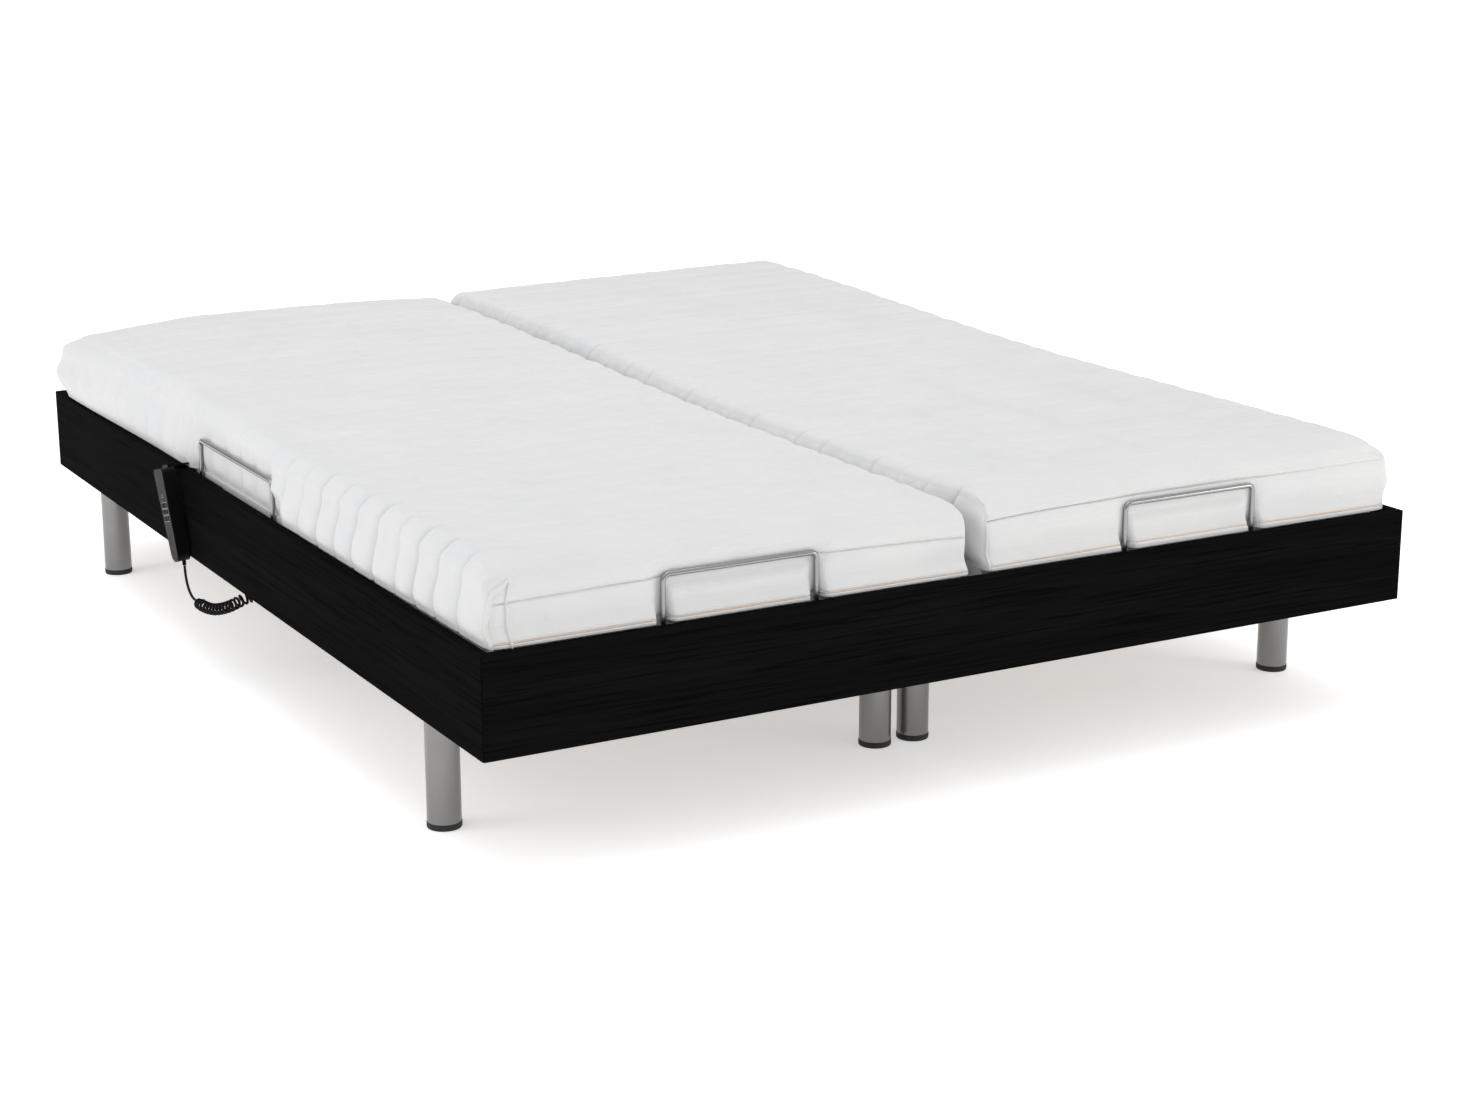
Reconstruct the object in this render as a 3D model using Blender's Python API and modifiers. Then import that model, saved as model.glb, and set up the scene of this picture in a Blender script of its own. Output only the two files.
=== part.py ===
"""Adjustable bed base for two sleepers: two motorised slatted bases side by side in one board surround.

Metres, +Z up. The origin is on the floor, under the middle of the whole part's box. +Y points to the
head end and +X to the right-hand side of somebody looking from the foot end to the head end.
Everything is built around the bed's own middle, then moved by BED_SHIFT: the handset hangs out on
the left, so the bed lies that far to the right of the origin.
Each base has a fixed seat, a back section, a thigh section and a calf section. "u" below is the
distance across one base from its own centre line, positive towards the outside of the bed.
"""

import math

import bmesh
import bpy
from mathutils import Matrix, Vector

BED_SHIFT = 0.018

# Surround: four mitred boards on edge
SURROUND_WIDTH = 1.640
SURROUND_LENGTH = 2.070
BOARD = 0.018
BOARD_LOW = 0.180
BOARD_HIGH = 0.330
BOARD_EDGE = 0.0012

# One base
BASE_CENTRE = 0.405
CHASSIS_LOW = 0.205
CHASSIS_HIGH = 0.245
MEMBER_INNER = 0.345
MEMBER_OUTER = 0.395
CHASSIS_END = 1.000
MEMBER_WIDTH = 0.050
CROSS_MEMBERS = (-0.620, 0.620)

# Section frames and their hinges
HINGE_Z = 0.265
BACK_HINGE_Y = 0.200
THIGH_HINGE_Y = -0.120
KNEE_Y = -0.420
SECTION_END = 0.985
TUBE = 0.030
TUBE_INNER = 0.300
TUBE_OUTER = TUBE_INNER + TUBE
TUBE_LOW = HINGE_Z - TUBE / 2
TUBE_HIGH = HINGE_Z + TUBE / 2
PIN_RADIUS = 0.006
PIN_CLEARANCE = 0.0003
LUG_INNER = 0.334
LUG_OUTER = 0.352
LUG_HALF = 0.014
SEAT_BAR_LOW = 0.243
SEAT_BAR_HIGH = 0.279
SEAT_BARS = (-0.070, 0.150)
GLIDE_Y = -0.975
GLIDE_RADIUS = 0.012

# Slats
SLAT_HALF_LENGTH = 0.380
SLAT_WIDTH = 0.044
SLAT_LOW = 0.2845
SLAT_HIGH = 0.2935
HOLDER_LOW = TUBE_HIGH + 0.0003
HOLDER_HIGH = 0.286
HOLDER_WIDTH = 0.020

# Mattresses
MATTRESS_INNER = 0.010
MATTRESS_OUTER = 0.788
MATTRESS_LOW = 0.297
MATTRESS_END = 0.997
MATTRESS_ROUNDING = 0.008
FACE_GAP = 0.0006
FOLD_RELIEF = (0.034, 0.042)

# Lift shafts: a torque tube with two roller arms, and a lever that the drive pushes
SHAFT_Z = 0.224
SHAFT_RADIUS = 0.011
JOURNAL_RADIUS = 0.008
JOURNAL_END = 0.3565
JOURNAL_CLEARANCE = 0.0003
ARM_LENGTH = 0.200
ARM_REST_ANGLE = math.radians(3.7)
ARM_U = 0.315
ARM_LOW = -0.014
ARM_HIGH = 0.002
ROLLER_RADIUS = 0.012
LEVER_LENGTH = 0.060

# Twin drive
DRIVE_HALF_WIDTH = 0.075
DRIVE_LOW = 0.150
DRIVE_HIGH = 0.238
DRIVE_WALL = 0.080
POCKET_HALF_WIDTH = 0.016

# Legs
LEG_RADIUS = 0.0255
LEG_TOP = CHASSIS_LOW - 0.0003
LEG_CAP_HEIGHT = 0.010
LEG_CAP_RADIUS = 0.0262
LEG_X = (0.0355, 0.775)
LEG_Y = {"head": 0.822, "foot": -0.786}

# Retainer bars: bent rods that keep the mattresses in place
ROD_RADIUS = 0.004
ROD_BEND = 0.010
SIDE_BAR_X = 0.7955
SIDE_BAR_Y = (-0.160, 0.198)
SIDE_BAR_TOP = 0.382
FOOT_BAR_X = (0.277, 0.527)
FOOT_BAR_Y = -1.004
FOOT_BAR_TOP = 0.398

# Handset, hung over the left board by its hook
HANDSET_LENGTH = 0.165
HANDSET_WIDTH_TOP = 0.050
HANDSET_WIDTH_BOTTOM = 0.038
HANDSET_DEPTH = 0.024
HANDSET_LEAN = math.radians(14.0)
HANDSET_TILT = math.radians(4.0)
HANDSET_TOP = Vector((-0.8322, 0.2590, 0.3325))
SHELL_WALL = 0.0022
KEY_SIZE = (0.0130, 0.0090)
KEY_PITCH = (0.0170, 0.0118)
KEY_ROWS = 3
KEY_FIRST = 0.064
KEY_GAP = 0.0003
KEY_STANDS_OUT = 0.0014
KEY_ABOVE_BOARD = 0.0032
RELIEF_LENGTH = 0.0165
RELIEF_RADIUS = 0.0034
HOOK_WIDTH = 0.030
HOOK_THICKNESS = 0.0026
HOOK_LIP = 0.015

# Handset cord: a straight length, then a curly one that ends in the control box
CORD_RADIUS = 0.0023
COIL_RADIUS = 0.0110
CORD_ROUTE = (
    (-0.8300, 0.2165, 0.1635),
    (-0.8310, 0.2110, 0.1500),
    (-0.8318, 0.2020, 0.1360),
    (-0.8322, 0.1890, 0.1240),
    (-0.8320, 0.1730, 0.1165),
    (-0.8312, 0.1560, 0.1145),
)
COIL_ROUTE = (
    (-0.8308, 0.1500, 0.1140),
    (-0.8280, 0.1200, 0.1125),
    (-0.8210, 0.0880, 0.1150),
    (-0.8120, 0.0500, 0.1270),
    (-0.8010, 0.0250, 0.1400),
    (-0.7870, 0.0150, 0.1490),
    (-0.7730, 0.0120, 0.1515),
)
GLAND_RADIUS = 0.0065
GLAND_LENGTH = 0.022
CONTROL_BOX = ((-0.7560, -0.060, 0.1400), (-0.6900, 0.090, 0.1950))

COLOURS = {
    "black_board": ((0.010, 0.010, 0.010), 0.45, 0.0),
    "grey_steel": ((0.30, 0.31, 0.32), 0.40, 0.8),
    "leg_aluminium": ((0.52, 0.53, 0.54), 0.30, 1.0),
    "dark_rod": ((0.22, 0.22, 0.23), 0.25, 1.0),
    "beech_slat": ((0.62, 0.42, 0.22), 0.45, 0.0),
    "mattress_cover": ((0.88, 0.89, 0.90), 0.85, 0.0),
    "black_plastic": ((0.012, 0.012, 0.013), 0.40, 0.0),
    "key_plastic": ((0.03, 0.03, 0.032), 0.50, 0.0),
    "drive_plastic": ((0.05, 0.05, 0.055), 0.55, 0.0),
    "board_green": ((0.02, 0.12, 0.05), 0.50, 0.0),
}

for old in list(bpy.data.objects):
    bpy.data.objects.remove(old, do_unlink=True)

model = bpy.data.collections.new("adjustable_bed_base")
helpers = bpy.data.collections.new("helpers")
for collection in (model, helpers):
    bpy.context.scene.collection.children.link(collection)
helpers.hide_render = True


# ---------------------------------------------------------------- tools


def material(name):
    """The Principled material of this name, made on first use."""
    found = bpy.data.materials.get(name)
    if found:
        return found
    colour, roughness, metallic = COLOURS[name]
    made = bpy.data.materials.new(name)
    made.use_nodes = True
    shader = made.node_tree.nodes["Principled BSDF"]
    shader.inputs["Base Color"].default_value = (*colour, 1)
    shader.inputs["Roughness"].default_value = roughness
    shader.inputs["Metallic"].default_value = metallic
    return made


def helper(mesh):
    """A shape that is not a node yet: it lies with the cutters until node() takes it."""
    made = bpy.data.objects.new("helper", mesh)
    made.hide_render = True
    made.display_type = "WIRE"
    helpers.objects.link(made)
    return made


def from_bmesh(shape):
    mesh = bpy.data.meshes.new("shape")
    bmesh.ops.recalc_face_normals(shape, faces=shape.faces)
    if shape.calc_volume(signed=True) < 0:
        bmesh.ops.reverse_faces(shape, faces=shape.faces)
    shape.to_mesh(mesh)
    shape.free()
    return helper(mesh)


def box(low, high):
    """A box between two corners, in any order."""
    low, high = Vector(map(min, zip(low, high))), Vector(map(max, zip(low, high)))
    shape = bmesh.new()
    bmesh.ops.create_cube(shape, size=1.0)
    bmesh.ops.scale(shape, vec=high - low, verts=shape.verts)
    bmesh.ops.translate(shape, vec=(low + high) / 2, verts=shape.verts)
    return from_bmesh(shape)


def cylinder(start, end, radius, sides=24):
    """A round bar from one point to another."""
    start, end = Vector(start), Vector(end)
    shape = bmesh.new()
    bmesh.ops.create_cone(
        shape, cap_ends=True, segments=sides, radius1=radius, radius2=radius, depth=(end - start).length
    )
    turn = (end - start).to_track_quat("Z", "Y").to_matrix().to_4x4()
    shape.transform(Matrix.Translation((start + end) / 2) @ turn)
    return from_bmesh(shape)


def plate(outline, thickness, frame):
    """A flat outline of (x, y) points, thickness thick and centred on the frame's XY plane."""
    curve = bpy.data.curves.new("outline", "CURVE")
    curve.dimensions = "2D"
    curve.fill_mode = "BOTH"
    curve.extrude = thickness / 2
    spline = curve.splines.new("POLY")
    spline.points.add(len(outline) - 1)
    for point, (x, y) in zip(spline.points, outline):
        point.co = (x, y, 0, 1)
    spline.use_cyclic_u = True
    return solid_of(curve, frame)


def rod(points, radius, sides_resolution=2):
    """A round rod with closed ends along a list of points."""
    curve = bpy.data.curves.new("rod", "CURVE")
    curve.dimensions = "3D"
    curve.bevel_depth = radius
    curve.bevel_resolution = sides_resolution
    curve.use_fill_caps = True
    spline = curve.splines.new("POLY")
    spline.points.add(len(points) - 1)
    for point, place in zip(spline.points, points):
        point.co = (*place, 1)
    return solid_of(curve, Matrix.Identity(4))


def solid_of(curve, frame):
    """The closed mesh of a curve, its caps welded on, with the frame applied to its points."""
    drawn = bpy.data.objects.new("drawn", curve)
    helpers.objects.link(drawn)
    bpy.context.view_layer.update()
    graph = bpy.context.evaluated_depsgraph_get()
    mesh = bpy.data.meshes.new_from_object(drawn.evaluated_get(graph))
    bpy.data.objects.remove(drawn)
    shape = bmesh.new()
    shape.from_mesh(mesh)
    bmesh.ops.remove_doubles(shape, verts=shape.verts, dist=1e-5)
    shape.transform(frame)
    return from_bmesh(shape)


def round_edges(piece, width, segments, angle=40):
    bevel = piece.modifiers.new("rounded", "BEVEL")
    bevel.width = width
    bevel.segments = segments
    bevel.limit_method = "ANGLE"
    bevel.angle_limit = math.radians(angle)


def joined(pieces):
    """Overlapping pieces as one solid: a Boolean union of the first with all the others."""
    first, others = pieces[0], pieces[1:]
    if others:
        group = bpy.data.collections.new("joined")
        helpers.children.link(group)
        for other in others:
            helpers.objects.unlink(other)
            group.objects.link(other)
        union = first.modifiers.new("union", "BOOLEAN")
        union.operation = "UNION"
        union.operand_type = "COLLECTION"
        union.collection = group
    return first


def cut(piece, cutters):
    for cutter in cutters:
        difference = piece.modifiers.new("cut", "BOOLEAN")
        difference.operation = "DIFFERENCE"
        difference.object = cutter
    return piece


def pivot(name, place, parent=None):
    """An empty on a joint's axis, which carries the pieces that turn or slide there."""
    made = bpy.data.objects.new(name, None)
    made.empty_display_size = 0.05
    made.location = place
    model.objects.link(made)
    if parent:
        attach(made, parent)
    return made


def attach(piece, parent):
    piece.parent = parent
    bpy.context.view_layer.update()
    piece.matrix_parent_inverse = parent.matrix_world.inverted()


def node(name, piece, slot, parent=None):
    """Makes a helper one of the bed's pieces, with its name, its material and what it hangs on."""
    helpers.objects.unlink(piece)
    model.objects.link(piece)
    piece.name = piece.data.name = name
    piece.hide_render = False
    piece.display_type = "TEXTURED"
    piece.data.materials.append(material(slot))
    piece.data.shade_smooth()
    piece.data.set_sharp_from_angle(angle=math.radians(35))
    if parent:
        attach(piece, parent)
    return piece


def arc(centre, radius, start, end, steps):
    """Points on an arc, its angles in degrees."""
    angles = [math.radians(start + (end - start) * i / steps) for i in range(steps + 1)]
    return [(centre[0] + radius * math.cos(a), centre[1] + radius * math.sin(a)) for a in angles]


def bent(corners, radius, steps=4):
    """A route through the corners, each inner corner rounded to the radius."""
    corners = [Vector(corner) for corner in corners]
    route = [corners[0]]
    for before, corner, after in zip(corners, corners[1:], corners[2:]):
        start = corner + (before - corner).normalized() * radius
        end = corner + (after - corner).normalized() * radius
        centre = start + end - corner
        for i in range(steps + 1):
            angle = math.pi / 2 * i / steps
            route.append(centre + (start - centre) * math.cos(angle) + (end - centre) * math.sin(angle))
    route.append(corners[-1])
    return route


def smooth_route(points, spacing):
    """Evenly spaced points on a Catmull-Rom curve through the given points."""
    points = [Vector(point) for point in points]
    padded = [2 * points[0] - points[1], *points, 2 * points[-1] - points[-2]]
    fine = []
    for a, b, c, d in zip(padded, padded[1:], padded[2:], padded[3:]):
        for i in range(20):
            t = i / 20
            square = 2 * a - 5 * b + 4 * c - d
            cube = 3 * b - a - 3 * c + d
            fine.append(0.5 * (2 * b + (c - a) * t + square * t**2 + cube * t**3))
    fine.append(points[-1])
    lengths = [0.0]
    for a, b in zip(fine, fine[1:]):
        lengths.append(lengths[-1] + (b - a).length)
    count = max(2, round(lengths[-1] / spacing))
    route, k = [], 0
    for i in range(count + 1):
        wanted = lengths[-1] * i / count
        while k < len(fine) - 2 and lengths[k + 1] < wanted:
            k += 1
        share = (wanted - lengths[k]) / (lengths[k + 1] - lengths[k])
        route.append(fine[k].lerp(fine[k + 1], share))
    return route


def mattress_top(y):
    """Height of the mattress's top: level from the foot to the seat, then rising to the head."""
    rise = max(0.0, (y + 0.10) / 0.90)
    return 0.443 + 0.026 * min(1.0, rise)


# ---------------------------------------------------------------- surround


def build_surround():
    x, y = SURROUND_WIDTH / 2, SURROUND_LENGTH / 2
    gap = 0.0002
    frame = Matrix.Translation((0, 0, (BOARD_LOW + BOARD_HIGH) / 2))
    long_end = y - BOARD
    side = [(x, -y + gap), (x, y - gap), (x - BOARD, long_end - gap), (x - BOARD, -long_end + gap)]
    end = [(-x + gap, y), (-x + BOARD + gap, long_end), (x - BOARD - gap, long_end), (x - gap, y)]
    boards = {
        "right_board": side,
        "left_board": [(-px, py) for px, py in side],
        "head_board": end,
        "foot_board": [(px, -py) for px, py in end],
    }
    for name, outline in boards.items():
        board = plate(outline, BOARD_HIGH - BOARD_LOW, frame)
        round_edges(board, BOARD_EDGE, 2, 30)
        node(name, board, "black_board")


# ---------------------------------------------------------------- one base


class Base:
    """Everything of one base; side is -1 for the left one and 1 for the right one."""

    def __init__(self, side):
        self.side = side
        self.name = "left" if side < 0 else "right"
        self.chassis()
        self.legs()
        self.side_retainer()
        self.drive()
        back = self.section_pivot("back", BACK_HINGE_Y)
        thigh = self.section_pivot("thigh", THIGH_HINGE_Y)
        calf = self.section_pivot("calf", KNEE_Y, thigh)
        self.back_section(back)
        self.thigh_section(thigh)
        self.calf_section(calf)
        self.slats("seat", THIGH_HINGE_Y + 0.036, BACK_HINGE_Y - 0.036, None)
        self.mattress({"back": back, "seat": None, "thigh": thigh, "calf": calf})
        self.lift_shaft("back", BACK_HINGE_Y, 1)
        self.lift_shaft("leg", THIGH_HINGE_Y, -1)

    def x(self, u):
        return self.side * (BASE_CENTRE + u)

    def at(self, u, y, z):
        return (self.x(u), y, z)

    def bar(self, low, high):
        return box(self.at(*low), self.at(*high))

    def round(self, u_start, u_end, y, z, radius, sides=16):
        return cylinder(self.at(u_start, y, z), self.at(u_end, y, z), radius, sides)

    def section_pivot(self, section, y, parent=None):
        return pivot(f"{self.name}_{section}_hinge", self.at(0, y, HINGE_Z), parent)

    def chassis(self):
        """Rectangular steel tubes on the legs, with the seat's bars and the hinge lugs welded on."""
        low, high = CHASSIS_LOW, CHASSIS_HIGH
        inner, outer, end = MEMBER_INNER, MEMBER_OUTER, CHASSIS_END
        pieces = [self.bar((s * inner, -end, low), (s * outer, end, high)) for s in (-1, 1)]
        reach = inner + 0.010
        for y in (-end + MEMBER_WIDTH / 2, *CROSS_MEMBERS, end - MEMBER_WIDTH / 2):
            half = MEMBER_WIDTH / 2 if abs(y) > abs(CROSS_MEMBERS[0]) else 0.020
            inset = 0.001
            pieces.append(self.bar((-reach, y - half, low + inset), (reach, y + half, high - inset)))
        for y in SEAT_BARS:
            half = 0.015
            pieces.append(
                self.bar((-inner - 0.012, y - half, SEAT_BAR_LOW), (inner + 0.012, y + half, SEAT_BAR_HIGH))
            )
        for s in (-1, 1):
            ends = (SEAT_BARS[0] - 0.022, SEAT_BARS[1] + 0.022)
            rail_low = (s * TUBE_INNER, ends[0], TUBE_LOW)
            pieces.append(self.bar(rail_low, (s * TUBE_OUTER, ends[1], TUBE_HIGH)))
            for y in (BACK_HINGE_Y, THIGH_HINGE_Y):
                lug_low = (s * LUG_INNER, y - LUG_HALF, CHASSIS_HIGH - 0.008)
                pieces.append(self.bar(lug_low, (s * LUG_OUTER, y + LUG_HALF, HINGE_Z + LUG_HALF)))
            for y_end in (-1, 1):
                tab_low = (s * 0.2 - 0.025, y_end * (end - 0.010), low + 0.006)
                tab_high = (s * 0.2 + 0.025, y_end * (SURROUND_LENGTH / 2 - BOARD - 0.0003), high - 0.004)
                pieces.append(self.bar(tab_low, tab_high))
        for y in (-0.5, 0.5):
            wall = SURROUND_WIDTH / 2 - BOARD - 0.0003 - BASE_CENTRE
            pieces.append(self.bar((outer - 0.01, y - 0.03, low + 0.006), (wall, y + 0.03, high - 0.006)))
        cutters = []
        for y in (BACK_HINGE_Y, THIGH_HINGE_Y):
            for s in (-1, 1):
                hole = PIN_RADIUS + PIN_CLEARANCE
                bore_ends = (s * (LUG_INNER - 0.002), s * (LUG_OUTER + 0.002))
                cutters.append(self.round(*bore_ends, y, HINGE_Z, hole))
                bearing = JOURNAL_RADIUS + JOURNAL_CLEARANCE
                cutters.append(
                    self.round(s * (inner - 0.003), s * (JOURNAL_END + 0.0005), y, SHAFT_Z, bearing)
                )
        node(f"{self.name}_chassis", cut(joined(pieces), cutters), "grey_steel")

    def legs(self):
        for x, across in zip(LEG_X, ("inner", "outer")):
            for along, y in LEG_Y.items():
                centre = Vector((self.side * x, y, 0))
                cap = cylinder(centre, centre + Vector((0, 0, LEG_CAP_HEIGHT)), LEG_CAP_RADIUS)
                lift = Vector((0, 0, LEG_CAP_HEIGHT / 2))
                tube = cylinder(centre + lift, centre + Vector((0, 0, LEG_TOP)), LEG_RADIUS)
                node(f"{self.name}_{across}_{along}_leg", joined([tube, cap]), "leg_aluminium")

    def side_retainer(self):
        x = self.side * SIDE_BAR_X
        foot = CHASSIS_HIGH + 0.0003
        corners = [
            (x, SIDE_BAR_Y[0], foot),
            (x, SIDE_BAR_Y[0], SIDE_BAR_TOP),
            (x, SIDE_BAR_Y[1], SIDE_BAR_TOP),
            (x, SIDE_BAR_Y[1], foot),
        ]
        node(f"{self.name}_side_retainer", rod(bent(corners, ROD_BEND), ROD_RADIUS), "dark_rod")

    def drive(self):
        """The twin drive hangs on the two lift shafts, which lie in open saddles in its top."""
        ends = (THIGH_HINGE_Y - DRIVE_WALL, BACK_HINGE_Y + DRIVE_WALL)
        half = DRIVE_HALF_WIDTH
        housing = self.bar((-half, ends[0], DRIVE_LOW), (half, ends[1], DRIVE_HIGH))
        round_edges(housing, 0.010, 2)
        cutters = []
        for y, outward in ((BACK_HINGE_Y, 1), (THIGH_HINGE_Y, -1)):
            saddle = SHAFT_RADIUS + 0.0006
            over = half + 0.005
            groove = self.round(-over, over, y, SHAFT_Z, saddle)
            mouth = self.bar((-over, y - saddle, SHAFT_Z), (over, y + saddle, DRIVE_HIGH + 0.01))
            near, far = y - outward * 0.022, y + outward * 0.066
            floor = SHAFT_Z - LEVER_LENGTH - 0.006
            pocket_low = (-POCKET_HALF_WIDTH, near, floor)
            pocket = self.bar(pocket_low, (POCKET_HALF_WIDTH, far, DRIVE_HIGH + 0.01))
            cutters += [groove, mouth, pocket]
        node(f"{self.name}_drive_housing", cut(housing, cutters), "drive_plastic")
        middle = (ends[0] + ends[1]) / 2
        top = DRIVE_LOW - 0.0003
        gearcase = self.bar((-0.055, middle - 0.090, top - 0.026), (0.055, middle + 0.090, top))
        motors = []
        for s in (-1, 1):
            motor_ends = [self.at(0, middle + s * reach, top - 0.030) for reach in (0.020, 0.105)]
            motors.append(cylinder(*motor_ends, 0.028, 24))
        trimmed = self.bar((-0.06, middle - 0.15, top), (0.06, middle + 0.15, top + 0.05))
        node(f"{self.name}_drive_motors", cut(joined([gearcase, *motors]), [trimmed]), "drive_plastic")

    def frame(self, y_hinge, y_end, crosses):
        """Two side tubes, an end tube and cross tubes, with the hinge pins at y_hinge."""
        along = math.copysign(1, y_end - y_hinge)
        start = y_hinge - along * TUBE / 2
        pieces = []
        for s in (-1, 1):
            low = (s * TUBE_INNER, start, TUBE_LOW)
            pieces.append(self.bar(low, (s * TUBE_OUTER, y_end, TUBE_HIGH)))
        inset = 0.0006
        for y in crosses:
            low = (-TUBE_INNER - 0.01, y - TUBE / 2, TUBE_LOW + inset)
            pieces.append(self.bar(low, (TUBE_INNER + 0.01, y + TUBE / 2, TUBE_HIGH - inset)))
        return pieces

    def pins(self, y, u_end):
        return [self.round(s * (TUBE_INNER + 0.01), s * u_end, y, HINGE_Z, PIN_RADIUS) for s in (-1, 1)]

    def back_section(self, parent):
        pieces = self.frame(BACK_HINGE_Y, SECTION_END, (0.590, SECTION_END - TUBE / 2))
        pieces += self.pins(BACK_HINGE_Y, LUG_OUTER - 0.0005)
        node(f"{self.name}_back_frame", joined(pieces), "grey_steel", parent)
        self.slats("back", BACK_HINGE_Y + 0.012, SECTION_END, parent)

    def thigh_section(self, parent):
        knee_end = KNEE_Y + 0.024
        pieces = self.frame(THIGH_HINGE_Y, knee_end, (knee_end + TUBE / 2,))
        pieces += self.pins(THIGH_HINGE_Y, LUG_OUTER - 0.0005)
        cutters = []
        inner, outer = TUBE_OUTER + 0.0006, TUBE_OUTER + 0.0075
        low, high = HINGE_Z - 0.012, HINGE_Z + 0.012
        hole = PIN_RADIUS + PIN_CLEARANCE
        for s in (-1, 1):
            weld_low = (s * (TUBE_OUTER - 0.004), knee_end + 0.002, low)
            pieces.append(self.bar(weld_low, (s * outer, -0.350, high)))
            pieces.append(self.bar((s * inner, KNEE_Y - 0.014, low), (s * outer, -0.352, high)))
            bore_ends = (s * (inner - 0.003), s * (outer + 0.003))
            cutters.append(self.round(*bore_ends, KNEE_Y, HINGE_Z, hole))
        node(f"{self.name}_thigh_frame", cut(joined(pieces), cutters), "grey_steel", parent)
        self.slats("thigh", KNEE_Y + 0.018, THIGH_HINGE_Y - 0.012, parent)

    def calf_section(self, parent):
        """Its foot end rolls on the chassis as the knee rises, and carries the foot retainer bar."""
        pieces = self.frame(KNEE_Y, -SECTION_END, (-0.700, -SECTION_END + TUBE / 2))
        pieces += self.pins(KNEE_Y, TUBE_OUTER + 0.007)
        height = CHASSIS_HIGH + 0.0005 + GLIDE_RADIUS
        for s in (-1, 1):
            pieces.append(self.round(s * (TUBE_INNER + 0.01), s * 0.378, GLIDE_Y, height, 0.005))
            pieces.append(self.round(s * 0.354, s * 0.374, GLIDE_Y, height, GLIDE_RADIUS))
        node(f"{self.name}_calf_frame", joined(pieces), "grey_steel", parent)
        self.slats("calf", -SECTION_END, KNEE_Y - 0.012, parent)
        self.foot_retainer(parent)

    def foot_retainer(self, parent):
        a, b = (self.side * x for x in FOOT_BAR_X)
        tube_face = -SECTION_END - 0.0003
        corners = [
            (a, tube_face, HINGE_Z),
            (a, FOOT_BAR_Y, HINGE_Z),
            (a, FOOT_BAR_Y, FOOT_BAR_TOP),
            (b, FOOT_BAR_Y, FOOT_BAR_TOP),
            (b, FOOT_BAR_Y, HINGE_Z),
            (b, tube_face, HINGE_Z),
        ]
        node(f"{self.name}_foot_retainer", rod(bent(corners, ROD_BEND), ROD_RADIUS), "dark_rod", parent)

    def slats(self, section, y_low, y_high, parent):
        """The section's sprung slats, on a strip of slat holders along each side tube."""
        count = round((y_high - y_low) / 0.066)
        pitch = (y_high - y_low - SLAT_WIDTH) / (count - 1)
        pieces = []
        for s in (-1, 1):
            middle = s * (TUBE_INNER + TUBE_OUTER) / 2
            low = (middle - HOLDER_WIDTH / 2, y_low, HOLDER_LOW)
            pieces.append(self.bar(low, (middle + HOLDER_WIDTH / 2, y_high, HOLDER_HIGH)))
        for i in range(count):
            start = y_low + i * pitch + (0.0005 if i == 0 else -0.0005 if i == count - 1 else 0)
            low = (-SLAT_HALF_LENGTH, start, SLAT_LOW)
            pieces.append(self.bar(low, (SLAT_HALF_LENGTH, start + SLAT_WIDTH, SLAT_HIGH)))
        node(f"{self.name}_{section}_slats", joined(pieces), "beech_slat", parent)

    def mattress(self, carriers):
        """Foam on each section; the seat's foam is squeezed at the two folds as they close.

        The back's foam is cut away along its lower front edge, which swings over the seat's slats.
        """
        gap, end = FACE_GAP, MATTRESS_END

        def block(low, high):
            top = [(y, mattress_top(y)) for y in (low, high)]
            return [(low, MATTRESS_LOW), *top, (high, MATTRESS_LOW)]

        shapes = {
            "back": [
                (BACK_HINGE_Y + FOLD_RELIEF[0], MATTRESS_LOW),
                (BACK_HINGE_Y + gap, MATTRESS_LOW + FOLD_RELIEF[1]),
                *block(BACK_HINGE_Y + gap, 0.80)[1:3],
                (0.95, mattress_top(0.95)),
                (end, mattress_top(end) - 0.020),
                (end, MATTRESS_LOW),
            ],
            "seat": block(THIGH_HINGE_Y + gap, BACK_HINGE_Y - gap),
            "thigh": block(KNEE_Y + gap, THIGH_HINGE_Y - gap),
            "calf": [
                (-end, MATTRESS_LOW),
                (-end, mattress_top(-end) - 0.012),
                (-end + 0.04, mattress_top(-end)),
                *block(-end, KNEE_Y - gap)[2:],
            ],
        }
        width = MATTRESS_OUTER - MATTRESS_INNER
        middle = self.side * (MATTRESS_OUTER + MATTRESS_INNER) / 2
        turn = Matrix(((0, 0, 1, middle), (1, 0, 0, 0), (0, 1, 0, 0), (0, 0, 0, 1)))
        for section, outline in shapes.items():
            foam = plate(outline, width, turn)
            round_edges(foam, MATTRESS_ROUNDING, 1, 50)
            node(f"{self.name}_{section}_mattress", foam, "mattress_cover", carriers[section])

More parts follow.
